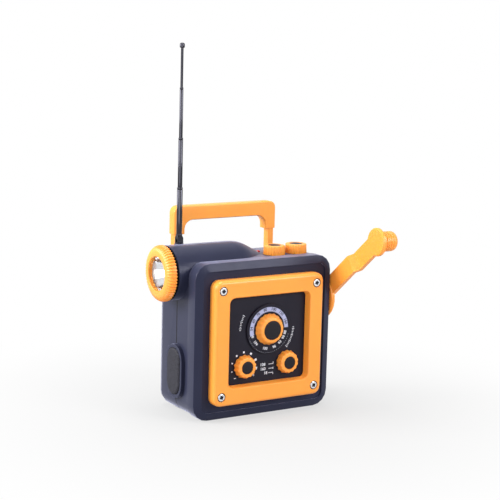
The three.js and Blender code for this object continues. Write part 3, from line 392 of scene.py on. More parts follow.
# Loudspeaker: a pressed steel basket round a ribbed black paper cone with a grey cap on its middle.
# It lies against the inside of the back, and is seen through the slots there.
finish, tree, shader, place = new_finish("loudspeaker", (0.03, 0.03, 0.032), 0.75)
speaker_radius = 30 * mm
middle = (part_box("loudspeaker")[0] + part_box("loudspeaker")[1]) / 2
lay = tree.nodes.new("ShaderNodeMapping")
lay.inputs["Location"].default_value = (-middle.x, 0, -middle.z)
lay.inputs["Scale"].default_value = (1, 0, 1)
tree.links.new(place, lay.inputs["Vector"])
reach = tree.nodes.new("ShaderNodeVectorMath")
reach.operation = "LENGTH"
tree.links.new(lay.outputs["Vector"], reach.inputs[0])
rings = tree.nodes.new("ShaderNodeMath")
rings.operation = "MULTIPLY"
rings.inputs[1].default_value = 1 / speaker_radius
tree.links.new(reach.outputs["Value"], rings.inputs[0])
paper_black = (0.02, 0.02, 0.022)
dust_cap = (0.05, 0.05, 0.055)
basket_steel = (0.4, 0.41, 0.43)
tone = ramp(tree, rings.outputs["Value"], [
    (0.0, dust_cap), (0.235, dust_cap), (0.24, paper_black),
    (0.83, paper_black), (0.835, basket_steel), (1.0, basket_steel),
])
tree.links.new(tone, shader.inputs["Base Color"])
ribs = tree.nodes.new("ShaderNodeTexWave")
ribs.wave_type = "RINGS"
ribs.rings_direction = "SPHERICAL"
ribs.inputs["Scale"].default_value = 110
tree.links.new(lay.outputs["Vector"], ribs.inputs["Vector"])
relief(tree, shader, ribs.outputs["Fac"], 0.25 * mm)
paint(finish, "loudspeaker")

# Battery bay: a tray of the case's plastic, three rechargeable cells in blue sleeves with one pale
# stripe and bare steel ends, and the ferrite rod of the medium wave aerial on the case floor.
sleeve_blue = (0.03, 0.12, 0.36)
sleeve_stripe = (0.75, 0.76, 0.78)
cell_end = (0.5, 0.5, 0.52)
cell_half = 27 * mm
finish, tree, shader, place = new_finish("cell_sleeve", sleeve_blue, 0.3)
lay = tree.nodes.new("ShaderNodeSeparateXYZ")
tree.links.new(place, lay.inputs["Vector"])
along = tree.nodes.new("ShaderNodeMapRange")
along.inputs["From Min"].default_value = -cell_half
along.inputs["From Max"].default_value = cell_half
tree.links.new(lay.outputs["X"], along.inputs["Value"])
tone = ramp(tree, along.outputs["Result"], [
    (0.0, cell_end), (0.035, cell_end), (0.04, sleeve_blue), (0.3, sleeve_blue),
    (0.31, sleeve_stripe), (0.34, sleeve_stripe), (0.35, sleeve_blue),
    (0.96, sleeve_blue), (0.965, cell_end), (1.0, cell_end),
])
tree.links.new(tone, shader.inputs["Base Color"])
relief(tree, shader, noise(tree, place, 300, 3), 0.02 * mm)
paint(finish, "battery_cell_1", "battery_cell_2", "battery_cell_3")
paint(moulded("ferrite", (0.05, 0.05, 0.055), 0.7, drift=0.3, grain=900), "ferrite_rod")
paint(slate_plastic, "battery_tray")

# Battery door: a plate of the case's plastic, let into the back over the cells. It is hinged along
# its lower edge and has a thumb recess at its top.
door = refined("battery_door", 0.4 * mm)
fit(door, "rear_door", slate_plastic, "battery_door", slot="slate_plastic")

# Control panel: a dark satin plastic plate behind the frame's window. Its marks are printed in pale
# ink: blocks that grow round the volume knob, three band positions, and strokes beside the dial.
panel_black = (0.0095, 0.0085, 0.0165)
panel_plastic = moulded("panel_plastic", panel_black, 0.42, grain=2600, depth=0.008 * mm, shine=0.18)
paint(panel_plastic, "control_panel")
ink_film = 0.05 * mm
ink = moulded("pale_ink", (0.72, 0.74, 0.82), 0.5, drift=0.04, depth=0.004 * mm)
dark_ink = moulded("dark_ink", (0.03, 0.03, 0.05), 0.5, drift=0.04, depth=0.004 * mm)
facing = Euler((math.radians(90), 0, 0))
volume = (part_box("volume_knob")[0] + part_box("volume_knob")[1]) / 2
band = (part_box("band_knob")[0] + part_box("band_knob")[1]) / 2
tuning = (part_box("tuning_knob")[0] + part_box("tuning_knob")[1]) / 2
panel_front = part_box("control_panel")[0].y
dots = 7
dot_ring = 12.6 * mm
dot_start = -107
dot_step = 35
smallest_dot = 1.0 * mm
dot_growth = 0.22 * mm
# Each sign has its place in degrees round the volume knob, and the turns of its strokes: - and +.
volume_signs = ((-138, (90,)), (132, (0, 90)))
# Each band row has its number and how far to the side that is centred, in mm.
band_rows = (("108", -2.6), ("160", -2.2), ("18", 0.6))
row_height = 45.2 * mm
row_pitch = 3.9 * mm
row_line = 5.8 * mm
row_tick = 8.2 * mm
# Each arc of strokes has its first and last degree, its number of strokes, and its radius in mm.
stroke_arcs = ((-88, -61, 10, 28.3), (92, 132, 14, 26.4))


def settle(piece, turn=(0, 0, 0), place=(0, 0, 0)):
    """The piece turned and moved into place, with its object back at the origin"""
    hold(piece)
    piece.rotation_euler = turn
    piece.location = place
    bpy.ops.object.transform_apply(location=True, rotation=True, scale=True)


def on_face(centre, radius, turn, front):
    """A place on the face, at a clockwise turn from the top round a centre"""
    return Vector((centre.x + radius * math.sin(turn), front, centre.z + radius * math.cos(turn)))


def merged(name, pieces):
    """Several pieces joined as one"""
    hold(pieces[0])
    for piece in pieces:
        piece.select_set(True)
    bpy.ops.object.join()
    bpy.context.object.name = name
    return bpy.context.object


def printed(text, height, place, turn=0.0, weight=0.06 * mm):
    """A printed numeral, upright on the face unless it is turned clockwise"""
    bare()
    bpy.ops.object.text_add()
    mark = bpy.context.object
    mark.data.body = text
    mark.data.size = height / 0.7
    mark.data.align_x = "CENTER"
    mark.data.align_y = "CENTER"
    mark.data.extrude = ink_film / 2
    mark.data.offset = weight
    mark.data.resolution_u = 3
    bpy.ops.object.convert(target="MESH")
    mark = bpy.context.object
    settle(mark, (0, 0, -turn))
    settle(mark, facing, place)
    return mark


def stroke(length, width, place, turn=0.0):
    """A printed line with slightly rounded ends, upright unless it is turned clockwise"""
    bare()
    bpy.ops.mesh.primitive_cube_add(size=1)
    mark = bpy.context.object
    mark.scale = (width, length, ink_film)
    bpy.ops.object.transform_apply(scale=True)
    mark.modifiers.new("ends", "BEVEL").width = width * 0.3
    apply_all(mark)
    settle(mark, (0, 0, -turn))
    settle(mark, facing, place)
    return mark


marks = []
for i in range(dots):
    turn = math.radians(dot_start + i * dot_step)
    size = smallest_dot + i * dot_growth
    marks.append(stroke(size, size, on_face(volume, dot_ring, turn, panel_front), turn))
for start, turns in volume_signs:
    place = on_face(volume, dot_ring + 0.6 * mm, math.radians(start), panel_front)
    for turn in turns:
        marks.append(stroke(2 * mm, 0.6 * mm, place, math.radians(turn)))
for i, (text, number_x) in enumerate(band_rows):
    row = row_height - row_pitch * i
    marks.append(printed(text, 2.6 * mm, (number_x * mm, panel_front, row)))
    marks.append(stroke(0.5 * mm, 4.6 * mm, (row_line, panel_front, row)))
    marks.append(stroke(1.8 * mm, 0.5 * mm, (row_tick, panel_front, row + (1 - i) * 0.8 * mm)))
for start, end, count, radius in stroke_arcs:
    for i in range(count):
        turn = math.radians(start + (end - start) * i / (count - 1))
        tall = 2.4 * mm if i % 4 == 1 else 1.5 * mm
        marks.append(stroke(tall, 0.5 * mm, on_face(tuning, radius * mm, turn, panel_front), turn))
panel_marks = merged("panel_marks", marks)
fit(panel_marks, "case", ink)

# Dial disc: dark plastic, turning with the tuning knob. A pale scale band with dark numbers is
# printed round its upper half, and pale numbers on the bare dark disc round its lower half.
dial_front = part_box("dial_plate")[0].y
band_inner = 15.6 * mm
band_outer = 19.6 * mm
band_end = -14
upper_ring = 17.8 * mm
lower_ring = 17.4 * mm
# Each row of ticks has its number of ticks, its first degree, its step in degrees, and its radius.
upper_ticks = (64, -98, 2.98, 15.9 * mm)
lower_ticks = (28, 108, 5.4, 21 * mm)
dial = refined("dial_plate", 0.3 * mm)
fit(dial, "tuning", panel_plastic, "dial_plate", slot="panel_plastic")


def pick(piece, test, kind="VERT"):
    """In edit mode, selects the points, edges or faces whose middle and normal pass a test"""
    bpy.ops.mesh.select_mode(type=kind)
    bpy.ops.mesh.select_all(action="DESELECT")
    mesh = bmesh.from_edit_mesh(piece.data)
    if kind == "VERT":
        for point in mesh.verts:
            point.select = test(point.co)
    elif kind == "EDGE":
        for edge in mesh.edges:
            edge.select = test((edge.verts[0].co + edge.verts[1].co) / 2)
    else:
        for face in mesh.faces:
            face.select = test(face.calc_center_median(), face.normal)
    mesh.select_flush_mode()
    bmesh.update_edit_mesh(piece.data)


bare()
bpy.ops.mesh.primitive_circle_add(vertices=144, radius=band_outer)
scale_band = bpy.context.object
scale_band.name = "dial_scale_band"
bpy.ops.object.mode_set(mode="EDIT")
bpy.ops.mesh.select_all(action="SELECT")
bpy.ops.mesh.extrude_edges_move()
inward = band_inner / band_outer
bpy.ops.transform.resize(value=(inward, inward, 1), center_override=(0, 0, 0))
left_end = math.sin(math.radians(band_end))


def below_band(at, normal):
    """Whether a face lies below the band's ends, level at the right and lower at the left"""
    return at.y < left_end * at.length if at.x < 0 else at.y < 0


pick(scale_band, below_band, "FACE")
bpy.ops.mesh.delete(type="FACE")
bpy.ops.mesh.select_all(action="SELECT")
bpy.ops.mesh.extrude_region_move(TRANSFORM_OT_translate={"value": (0, 0, ink_film)})
bpy.ops.mesh.select_all(action="SELECT")
bpy.ops.mesh.normals_make_consistent(inside=False)
settle(scale_band, facing, (tuning.x, dial_front, tuning.z))
band_ink = moulded("band_ink", (0.36, 0.39, 0.6), 0.5, drift=0.06, depth=0.004 * mm)
fit(scale_band, "tuning", band_ink)

# Degrees round the dial, clockwise from its top, with the number printed there.
numbers = []
upper = {-84: "54", -62: "60", -39: "70", -14: "80", 14: "100", 43: "130", 72: "160"}
for turn, text in upper.items():
    place = on_face(tuning, upper_ring, math.radians(turn), dial_front - ink_film)
    numbers.append(printed(text, 2.5 * mm, place, math.radians(turn), 0.1 * mm))
count, start, step, radius = upper_ticks
for i in range(count):
    turn = math.radians(start + i * step)
    place = on_face(tuning, radius, turn, dial_front - ink_film)
    numbers.append(stroke(0.5 * mm, 0.18 * mm, place, turn))
dark_numbers = merged("dial_dark_numbers", numbers)
fit(dark_numbers, "tuning", dark_ink)
numbers = []
lower = {105: "88", 120: "90", 138: "93", 160: "96", 192: "100", 230: "104", 257: "108"}
for turn, text in lower.items():
    place = on_face(tuning, lower_ring, math.radians(turn), dial_front)
    numbers.append(printed(text, 2.4 * mm, place, math.radians(turn + 180)))
count, start, step, radius = lower_ticks
for i in range(count):
    turn = math.radians(start + i * step)
    numbers.append(stroke(0.6 * mm, 0.2 * mm, on_face(tuning, radius, turn, dial_front), turn))
pale_numbers = merged("dial_pale_numbers", numbers)
fit(pale_numbers, "tuning", ink)

# The three face knobs: orange plastic with soft lobes to grip, tapering to a rounded crown, and a
# dark cap let into each. Each knob is pushed on its stem, and is modelled upright, then turned.
orange = (0.95, 0.345, 0.048)
orange_plastic = moulded("orange_plastic", orange, 0.36, drift=0.04, grain=900, depth=0.003 * mm, shift=0.03)
orange_shader = orange_plastic.node_tree.nodes["Principled BSDF"]
orange_shader.inputs["Subsurface Weight"].default_value = 0.12
orange_shader.inputs["Subsurface Radius"].default_value = (1, 0.28, 0.06)
orange_shader.inputs["Subsurface Scale"].default_value = 1.5 * mm
cap_plastic = moulded("cap_plastic", (0.014, 0.0125, 0.016), 0.42, grain=1500, shine=0.15)
stem_radius = 3 * mm
cap_gap = 0.3 * mm
cap_sink = 1.0 * mm
# Lobes, radius at the base and at the top, height, radius of the cap, and depth of the troughs.
small_knob = (14, 10.6 * mm, 9.2 * mm, 6 * mm, 5.5 * mm, 0.8 * mm)
knob_sizes = {
    "tuning": (18, 14.2 * mm, 11.1 * mm, 6 * mm, 8.4 * mm, 0.5 * mm),
    "volume": small_knob,
    "band": small_knob,
}
# Each lobe takes six points, and each of these is drawn in by a share of the trough's depth.
lobe_points = 6
trough_shape = ((0, 1.0), (1, 0.75), (5, 0.75), (2, 0.25), (4, 0.25))


def shape_start(piece, name):
    """The new primitive named, at the origin, and opened for editing"""
    piece.name = name
    bpy.ops.object.transform_apply(location=True, rotation=True, scale=True)
    bpy.ops.object.mode_set(mode="EDIT")


def carve(piece, cutter):
    """The cutter's form taken out of the piece"""
    hold(piece)
    hollow = piece.modifiers.new("hollow", "BOOLEAN")
    hollow.operation = "DIFFERENCE"
    hollow.object = cutter
    hollow.solver = "EXACT"
    hollow.use_self = True
    bpy.ops.object.modifier_apply(modifier=hollow.name)
    bpy.data.objects.remove(cutter)


def lobed_knob(name, lobes, base, top, height, cap, crown=1.4 * mm, trough=0.8 * mm):
    """A knob on Z, its base at the origin, with a round recess for the cap"""
    bare()
    points = lobes * lobe_points
    middle = (0, 0, height / 2)
    bpy.ops.mesh.primitive_cylinder_add(vertices=points, radius=base, depth=height, location=middle)
    knob = bpy.context.object
    shape_start(knob, name)
    pick(knob, lambda at: at.z > height / 2)
    bpy.ops.transform.resize(value=(top / base, top / base, 1), center_override=(0, 0, 0))
    for step, share in trough_shape:
        pick(knob, lambda at: round(math.atan2(at.y, at.x) / math.tau * points) % lobe_points == step)
        inward = 1 - share * trough / base
        bpy.ops.transform.resize(value=(inward, inward, 1), center_override=(0, 0, 0))
    pick(knob, lambda at: at.z > height * 0.99, "EDGE")
    bpy.ops.mesh.bevel(offset=crown, segments=4, affect="EDGES")
    pick(knob, lambda at: at.z < height * 0.01, "EDGE")
    bpy.ops.mesh.bevel(offset=0.3 * mm, segments=2, affect="EDGES")
    bpy.ops.object.mode_set(mode="OBJECT")
    recess = cap + cap_gap
    bpy.ops.mesh.primitive_cylinder_add(
        vertices=96, radius=recess, depth=2 * cap_sink, location=(0, 0, height))
    carve(knob, bpy.context.object)
    smooth(knob, 40)
    return knob


def knob_cap(name, radius, height):
    """A shallow crowned cap that fills the knob's recess"""
    bare()
    thick = cap_sink - cap_gap / 2
    floor_height = height - cap_sink
    middle = (0, 0, floor_height + thick / 2)
    bpy.ops.mesh.primitive_cylinder_add(vertices=72, radius=radius, depth=thick, location=middle)
    cap = bpy.context.object
    shape_start(cap, name)
    pick(cap, lambda at, normal: normal.z > 0.9, "FACE")
    for width, rise in ((0.5 * mm, 0.12 * mm), (radius * 0.3, 0.1 * mm), (radius * 0.3, 0.05 * mm)):
        bpy.ops.mesh.inset(thickness=width, depth=0)
        bpy.ops.transform.translate(value=(0, 0, rise))
    pick(cap, lambda at: thick * 0.9 < at.z - floor_height < thick * 1.01, "EDGE")
    bpy.ops.mesh.bevel(offset=0.2 * mm, segments=2, affect="EDGES")
    bpy.ops.object.mode_set(mode="OBJECT")
    smooth(cap, 40)
    return cap


def stem(name, length):
    """The round stem behind a knob, with its far edge eased"""
    bare()
    middle = (0, 0, -length / 2)
    bpy.ops.mesh.primitive_cylinder_add(vertices=32, radius=stem_radius, depth=length, location=middle)
    rod = bpy.context.object
    shape_start(rod, name)
    pick(rod, lambda at: at.z < -length * 0.99, "EDGE")
    bpy.ops.mesh.bevel(offset=0.4 * mm, segments=2, affect="EDGES")
    bpy.ops.object.mode_set(mode="OBJECT")
    smooth(rod, 40)
    return rod


for name, (lobes, base, top, height, cap, trough) in knob_sizes.items():
    low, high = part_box(name + "_knob")
    at = ((low.x + high.x) / 2, low.y + height, (low.z + high.z) / 2)
    knob = lobed_knob(name + "_knob_form", lobes, base, top, height, cap, trough=trough)
    knob = merged(name + "_knob_form", [knob, stem(name + "_stem", high.y - low.y - height)])
    settle(knob, facing, at)
    fit(knob, name, orange_plastic, name + "_knob", slot="orange_plastic")
    insert = knob_cap(name + "_cap_form", cap, height)
    settle(insert, facing, at)
    fit(insert, name, cap_plastic, name + "_cap", slot="cap_plastic")

# Front frame: orange plastic, proud of the face, with a window that narrows towards the panel. Four
# chromed cross head screws sit in round counterbores at its corners, each with a wider foot under
# its head that fills the gap round it. The feet and the cross recesses are painted black as shade.
front_frame = refined("front_frame", 0.45 * mm, 3)
fit(front_frame, "case", orange_plastic, "front_frame", slot="orange_plastic")
chrome = brushed("chrome", (0.82, 0.83, 0.86), 0.16, fineness=900)
# Near black for the screws' recesses and feet: painted shade in each recess and in the gap round each head.
painted_shade_black = moulded("painted_shade_black", (0.012, 0.012, 0.022), 0.5, drift=0.3, shine=0.3)
head_radius = 3.3 * mm
head_height = 0.9 * mm
foot_radius = 3.95 * mm
foot_height = 0.4 * mm
shank_radius = 1.4 * mm
recess_radius = 1.6 * mm
recess_depth = 1.0 * mm
head_crown = 0.5 * mm
cross_bar = (4 * mm, 0.95 * mm, 1.5 * mm)


def with_painted_shade(piece, finish, test):
    """A second finish on the faces whose middle passes a test, used here for painted shade"""
    piece.data.materials.append(finish)
    hold(piece)
    piece.active_material_index = len(piece.data.materials) - 1
    bpy.ops.object.mode_set(mode="EDIT")
    pick(piece, lambda at, normal: test(at), "FACE")
    bpy.ops.object.material_slot_assign()
    bpy.ops.object.mode_set(mode="OBJECT")


def in_painted_shade(at, screw_place):
    """Whether a place on a screw is in its recess or on its foot, which are painted black as shade"""
    sunk = at.y - screw_place.y
    away = math.hypot(at.x - screw_place.x, at.z - screw_place.z)
    in_recess = 0.02 * mm < sunk < 1.2 * mm and away < 2.1 * mm
    on_foot = sunk > 0.8 * mm and away > 3 * mm
    return in_recess or on_foot


for i in range(4):
    node = f"frame_screw_{i + 1}"
    low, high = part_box(node)
    bare()
    middle = (0, 0, -head_height / 2)
    bpy.ops.mesh.primitive_cylinder_add(vertices=48, radius=head_radius, depth=head_height, location=middle)
    screw = bpy.context.object
    shape_start(screw, node + "_form")
    pick(screw, lambda at: at.z > -head_height * 0.01, "EDGE")
    bpy.ops.mesh.bevel(offset=head_crown, segments=4, affect="EDGES")
    pick(screw, lambda at, normal: normal.z > 0.999, "FACE")
    bpy.ops.mesh.inset(thickness=head_radius - head_crown - recess_radius)
    bpy.ops.mesh.inset(thickness=recess_radius * 0.5, depth=-recess_depth)
    pick(screw, lambda at, normal: normal.z < -0.999, "FACE")
    bpy.ops.mesh.extrude_region_move(TRANSFORM_OT_translate={"value": (0, 0, 0)})
    wider = foot_radius / head_radius
    bpy.ops.transform.resize(value=(wider, wider, 1), center_override=(0, 0, -head_height))
    bpy.ops.mesh.extrude_region_move(TRANSFORM_OT_translate={"value": (0, 0, -foot_height)})
    bpy.ops.mesh.inset(thickness=foot_radius - shank_radius)
    shank_length = high.y - low.y - head_height - foot_height
    bpy.ops.mesh.extrude_region_move(TRANSFORM_OT_translate={"value": (0, 0, -shank_length)})
    bpy.ops.object.mode_set(mode="OBJECT")
    for turn in (0, 90):
        bpy.ops.mesh.primitive_cube_add(size=1)
        bar = bpy.context.object
        bar.scale = cross_bar
        bar.rotation_euler = (0, 0, math.radians(turn))
        carve(screw, bar)
    smooth(screw, 35)
    settle(screw, (0, 0, math.radians(12 * i)))
    screw_place = Vector(((low.x + high.x) / 2, low.y, (low.z + high.z) / 2))
    settle(screw, facing, screw_place)
    fit(screw, "case", chrome, node, slot="chrome")
    with_painted_shade(screw, painted_shade_black, lambda at: in_painted_shade(at, screw_place))

# The two knobs on the top switch the radio and the lamp on. They are the same orange plastic, with
# straight fluted sides and wide dark caps, and push on the stems of the switches.
switch_height = 8.3 * mm
switch_cap = 5.6 * mm
# As for the face knobs, with the rounding of the crown before the depth of the troughs.
switch_sizes = (24, 9.8 * mm, 9.4 * mm, switch_height, switch_cap, 0.6 * mm, 0.6 * mm)
for name in ("power", "light"):
    low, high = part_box(name + "_knob")
    at = ((low.x + high.x) / 2, (low.y + high.y) / 2, high.z - switch_height)
    knob = lobed_knob(name + "_knob_form", *switch_sizes)
    knob = merged(name + "_knob_form", [knob, stem(name + "_stem", high.z - low.z - switch_height)])
    settle(knob, (0, 0, 0), at)
    fit(knob, name, orange_plastic, name + "_knob", slot="orange_plastic")
    insert = knob_cap(name + "_cap_form", switch_cap, switch_height)
    settle(insert, (0, 0, 0), at)
    fit(insert, name, cap_plastic, name + "_cap", slot="cap_plastic")

# Charge light: a domed lens of red plastic, pressed into the case top behind the knobs. It shows
# that the crank charges the cells, and is unlit here.
light_radius = 1.7 * mm
light_dome = 1.2 * mm
lens_red = (0.5, 0.012, 0.012)
red_lens = moulded("red_lens", lens_red, 0.12, drift=0.15, depth=0.003 * mm, shift=0.03)
low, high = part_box("charge_light")
bare()
bpy.ops.mesh.primitive_cylinder_add(vertices=40, radius=light_radius, depth=high.z - low.z)
light = bpy.context.object
shape_start(light, "charge_light_form")
pick(light, lambda at: at.z > (high.z - low.z) * 0.49, "EDGE")
bpy.ops.mesh.bevel(offset=light_dome, segments=6, affect="EDGES")
bpy.ops.object.mode_set(mode="OBJECT")
smooth(light, 50)
settle(light, (0, 0, 0), (low + high) / 2)
fit(light, "case", red_lens, "charge_light", slot="red_lens")

# Lamp head: the bulb in its faceted mirror reflector, behind a clear fluted lens. A rubber seal lies
# on the barrel's neck, and the orange ring screws on over it. Its ribs run over the shoulder.
low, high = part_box("lamp_ring")
lamp = Vector((0, (low.y + high.y) / 2, (low.z + high.z) / 2))
leftwards = Euler((0, math.radians(-90), 0))
ring_ribs = 54
# Each rib takes four points round the ring, and two of them lie in the trough beside it.
rib_points = 4
trough_points = (1, 2)
rib_depth = 1.2 * mm
ring_face = 17.4 * mm
ring_opening = 15 * mm
ring_bore = 22.3 * mm
ring_lip = 4 * mm


def turned(name, profile, points=64, fill_start=True, fill_end=True):
    """A turned piece on Z, through rings of (radius, height), with its ends closed if asked"""
    bare()
    radius, height = profile[0]
    bpy.ops.mesh.primitive_circle_add(vertices=points, radius=radius, location=(0, 0, height))
    piece = bpy.context.object
    shape_start(piece, name)
    bpy.ops.mesh.select_all(action="SELECT")
    if fill_start:
        bpy.ops.mesh.edge_face_add()
        pick(piece, lambda at: True, "EDGE")
    for next_radius, next_height in profile[1:]:
        rise = next_height - height
        bpy.ops.mesh.extrude_edges_move(TRANSFORM_OT_translate={"value": (0, 0, rise)})
        grow = next_radius / radius
        bpy.ops.transform.resize(value=(grow, grow, 1), center_override=(0, 0, next_height))
        radius, height = next_radius, next_height
    if fill_end:
        bpy.ops.mesh.edge_face_add()
    bpy.ops.mesh.select_all(action="SELECT")
    bpy.ops.mesh.remove_doubles(threshold=0.001 * mm)
    bpy.ops.mesh.select_all(action="SELECT")
    bpy.ops.mesh.normals_make_consistent(inside=False)
    bpy.ops.object.mode_set(mode="OBJECT")
    return piece


def quarter(radius, inward, height, rise, steps=5):
    """Rings of an edge rounded by a quarter turn, from the given radius and height"""
    rings = []
    for i in range(steps + 1):
        turn = math.radians(90) * i / steps
        rings.append((radius - inward * (1 - math.cos(turn)), height + rise * math.sin(turn)))
    return rings


reflector_low, reflector_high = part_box("lamp_reflector")
depth = reflector_high.x - reflector_low.x
rim = (reflector_high.z - reflector_low.z) / 2
throat = 3.6 * mm
reflector_facets = 14
bowl_rings = 12
wall = 0.9 * mm
# The bowl is a parabola that opens from the bulb's throat to the rim.
inside = []
for i in range(bowl_rings + 1):
    share = i / bowl_rings
    inside.append((throat + (rim - wall - throat) * math.sqrt(share), (share - 1) * depth))
outside = [(radius + wall, height) for radius, height in reversed(inside)]
reflector = turned("lamp_reflector_form", inside + outside + inside[:1], reflector_facets, False, False)
smooth(reflector, 18)
settle(reflector, leftwards, lamp + Vector((reflector_low.x, 0, 0)))
mirror = brushed("reflector_mirror", (0.86, 0.87, 0.88), 0.07, stretch=(1, 1, 1), fineness=700)
fit(reflector, "case", mirror, "lamp_reflector", slot="chrome")

low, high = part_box("lamp_bulb")
length = high.x - low.x
bulb_radius = 2.6 * mm
base = (high.z - low.z) / 2
collar = 5 * mm
profile = [(base, -length), (base, -collar - 0.4 * mm), (base * 0.9, -collar)]
profile += [(bulb_radius, -collar), (bulb_radius, -bulb_radius)]
profile += quarter(bulb_radius, bulb_radius * 0.96, -bulb_radius, bulb_radius, 8)[1:]
bulb = turned("lamp_bulb_form", profile, 40)
smooth(bulb, 40)
settle(bulb, leftwards, lamp + Vector((low.x, 0, 0)))
finish, tree, shader, place = new_finish("bulb_resin", (0.9, 0.93, 0.95), 0.12)
shader.inputs["Coat Weight"].default_value = 0.6
tone = ramp(tree, noise(tree, place, 500, 2), [(0.3, (0.82, 0.86, 0.9)), (0.7, (0.95, 0.97, 0.98))])
tree.links.new(tone, shader.inputs["Base Color"])
fit(bulb, "case", finish, "lamp_bulb", slot="clear_plastic")

low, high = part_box("lamp_lens")
edge = (high.z - low.z) / 2
crown = 14.7 * mm
bulge = 1.0 * mm
thick = 1.2 * mm
profile = [(edge, -thick), (edge, -0.2 * mm), (edge - 0.2 * mm, 0), (crown, 0)]
profile += quarter(crown, crown, 0, bulge, 6)[1:-1]
lens = turned("lamp_lens_form", profile, 72)
smooth(lens, 30)
settle(lens, leftwards, lamp + Vector((low.x + bulge, 0, 0)))
clear, tree, shader, place = new_finish("clear_lens", (0.97, 0.98, 1.0), 0.03)
shader.inputs["Transmission Weight"].default_value = 1.0
shader.inputs["IOR"].default_value = 1.3
flutes = tree.nodes.new("ShaderNodeTexWave")
flutes.bands_direction = "Y"
flutes.inputs["Scale"].default_value = 130
tree.links.new(place, flutes.inputs["Vector"])
relief(tree, shader, flutes.outputs["Fac"], 0.05 * mm)
fit(lens, "case", clear, "lamp_lens", slot="clear_plastic")

low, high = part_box("lamp_seal")
outer = (high.z - low.z) / 2
inner = outer - 1.2 * mm
wide = high.x - low.x
lip = 0.3 * mm
profile = [(inner, 0), (outer - lip, 0), (outer, lip)]
profile += [(outer, wide - lip), (outer - lip, wide), (inner, wide), (inner, 0)]
seal = turned("lamp_seal_form", profile, 96, False, False)
smooth(seal, 50)
settle(seal, leftwards, lamp + Vector((high.x, 0, 0)))
seal_black = (0.003, 0.003, 0.004)
rubber = moulded("black_rubber", seal_black, 0.8, drift=0.2, grain=700, depth=0.02 * mm, shine=0.02)
fit(seal, "case", rubber, "lamp_seal", slot="rubber")

low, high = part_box("lamp_ring")
length = high.x - low.x
outer = (high.z - low.z) / 2
shoulder = 5 * mm
shoulder_height = length - shoulder
profile = [(outer, 0), (outer, shoulder_height)]
profile += quarter(outer, outer - ring_face, shoulder_height, shoulder, 7)[1:]
shoulder_end = len(profile)
profile += [(ring_opening + 0.5 * mm, length), (ring_opening, length - 0.5 * mm)]
profile += [(ring_opening, length - ring_lip), (ring_bore, length - ring_lip)]
profile += [(ring_bore, 0), (outer, 0)]
ring = turned("lamp_ring_form", profile, ring_ribs * rib_points, False, False)


def rib_corner(at, radius, height, step):
    """Whether a point of the ring lies on a circle of it, at this step of a rib"""
    on_circle = abs(at.z - height) < 0.02 * mm and abs(math.hypot(at.x, at.y) - radius) < 0.05 * mm
    along = round(math.atan2(at.y, at.x) / math.tau * ring_ribs * rib_points)
    return on_circle and along % rib_points == step


# The troughs keep their depth over most of the shoulder, and run out near its top.
bpy.ops.object.mode_set(mode="EDIT")
for radius, height in profile[:shoulder_end]:
    rise = max(0, (height - shoulder_height) / (length - shoulder_height))
    inward = 1 - rib_depth * (1 - rise ** 6) / radius
    for step in trough_points:
        pick(ring, lambda at: rib_corner(at, radius, height, step))
        bpy.ops.transform.resize(value=(inward, inward, 1), center_override=(0, 0, 0))
bpy.ops.object.mode_set(mode="OBJECT")
smooth(ring, 35)
settle(ring, leftwards, lamp + Vector((high.x, 0, 0)))
fit(ring, "case", orange_plastic, "lamp_ring", slot="orange_plastic")

# Side sockets: an oval collar of the case's plastic, two metal sockets in its floor, and a moulded
# rubber cover that swings off them, pebbled to give a thumb some grip.
housing = refined("jack_housing", 0.4 * mm)
fit(housing, "case", slate_plastic, "jack_housing", slot="slate_plastic")
cover = refined("jack_cover", 0.8 * mm, 4)
finish, tree, shader, place = new_finish("pebbled_rubber", (0.02, 0.018, 0.022), 0.6)
shader.inputs["Specular IOR Level"].default_value = 0.3
pebbles = tree.nodes.new("ShaderNodeTexVoronoi")
pebbles.inputs["Scale"].default_value = 900
tree.links.new(place, pebbles.inputs["Vector"])
# Darker from each pebble's top to its foot, as the bump sinks: painted shade between the pebbles.
pebble_top = (0.03, 0.029, 0.044)
pebble_foot_painted_shade = (0.005, 0.005, 0.009)
tone = ramp(tree, pebbles.outputs["Distance"], [(0.0, pebble_top), (0.8, pebble_foot_painted_shade)])
tree.links.new(tone, shader.inputs["Base Color"])
height = ramp(tree, pebbles.outputs["Distance"], [(0.0, (1, 1, 1)), (0.7, (0, 0, 0))])
relief(tree, shader, height, 0.2 * mm)
fit(cover, "side_cover", finish, "jack_cover", slot="rubber")
paint(steel, "power_socket", "phone_socket")

# Telescopic antenna: a turned foot with two prongs, and four plated brass tubes that slide into each
# other. A collar is rolled near each tube's mouth, and the last ends in a round button. The plating
# is given a near black colour: a painted reflection of dark surroundings.
# A near black metal colour, painted as the dark reflection that the foot and tubes show.
chrome_painted_dark_reflection = brushed("chrome_painted_dark_reflection", (0.045, 0.045, 0.055), 0.1, fineness=900)
fork = refined("antenna_fork", 0.2 * mm)
fit(fork, "antenna_base", chrome_painted_dark_reflection, "antenna_fork", slot="chrome")
tube_radii = (2.5 * mm, 2.05 * mm, 1.6 * mm, 1.15 * mm)
button_radius = 2.2 * mm
button_height = 4.4 * mm
tube_edge = 0.1 * mm
tube_clearance = 0.12 * mm
foot_gap = 0.8 * mm
tongue_overlap = 0.4 * mm
plug = 1.5 * mm
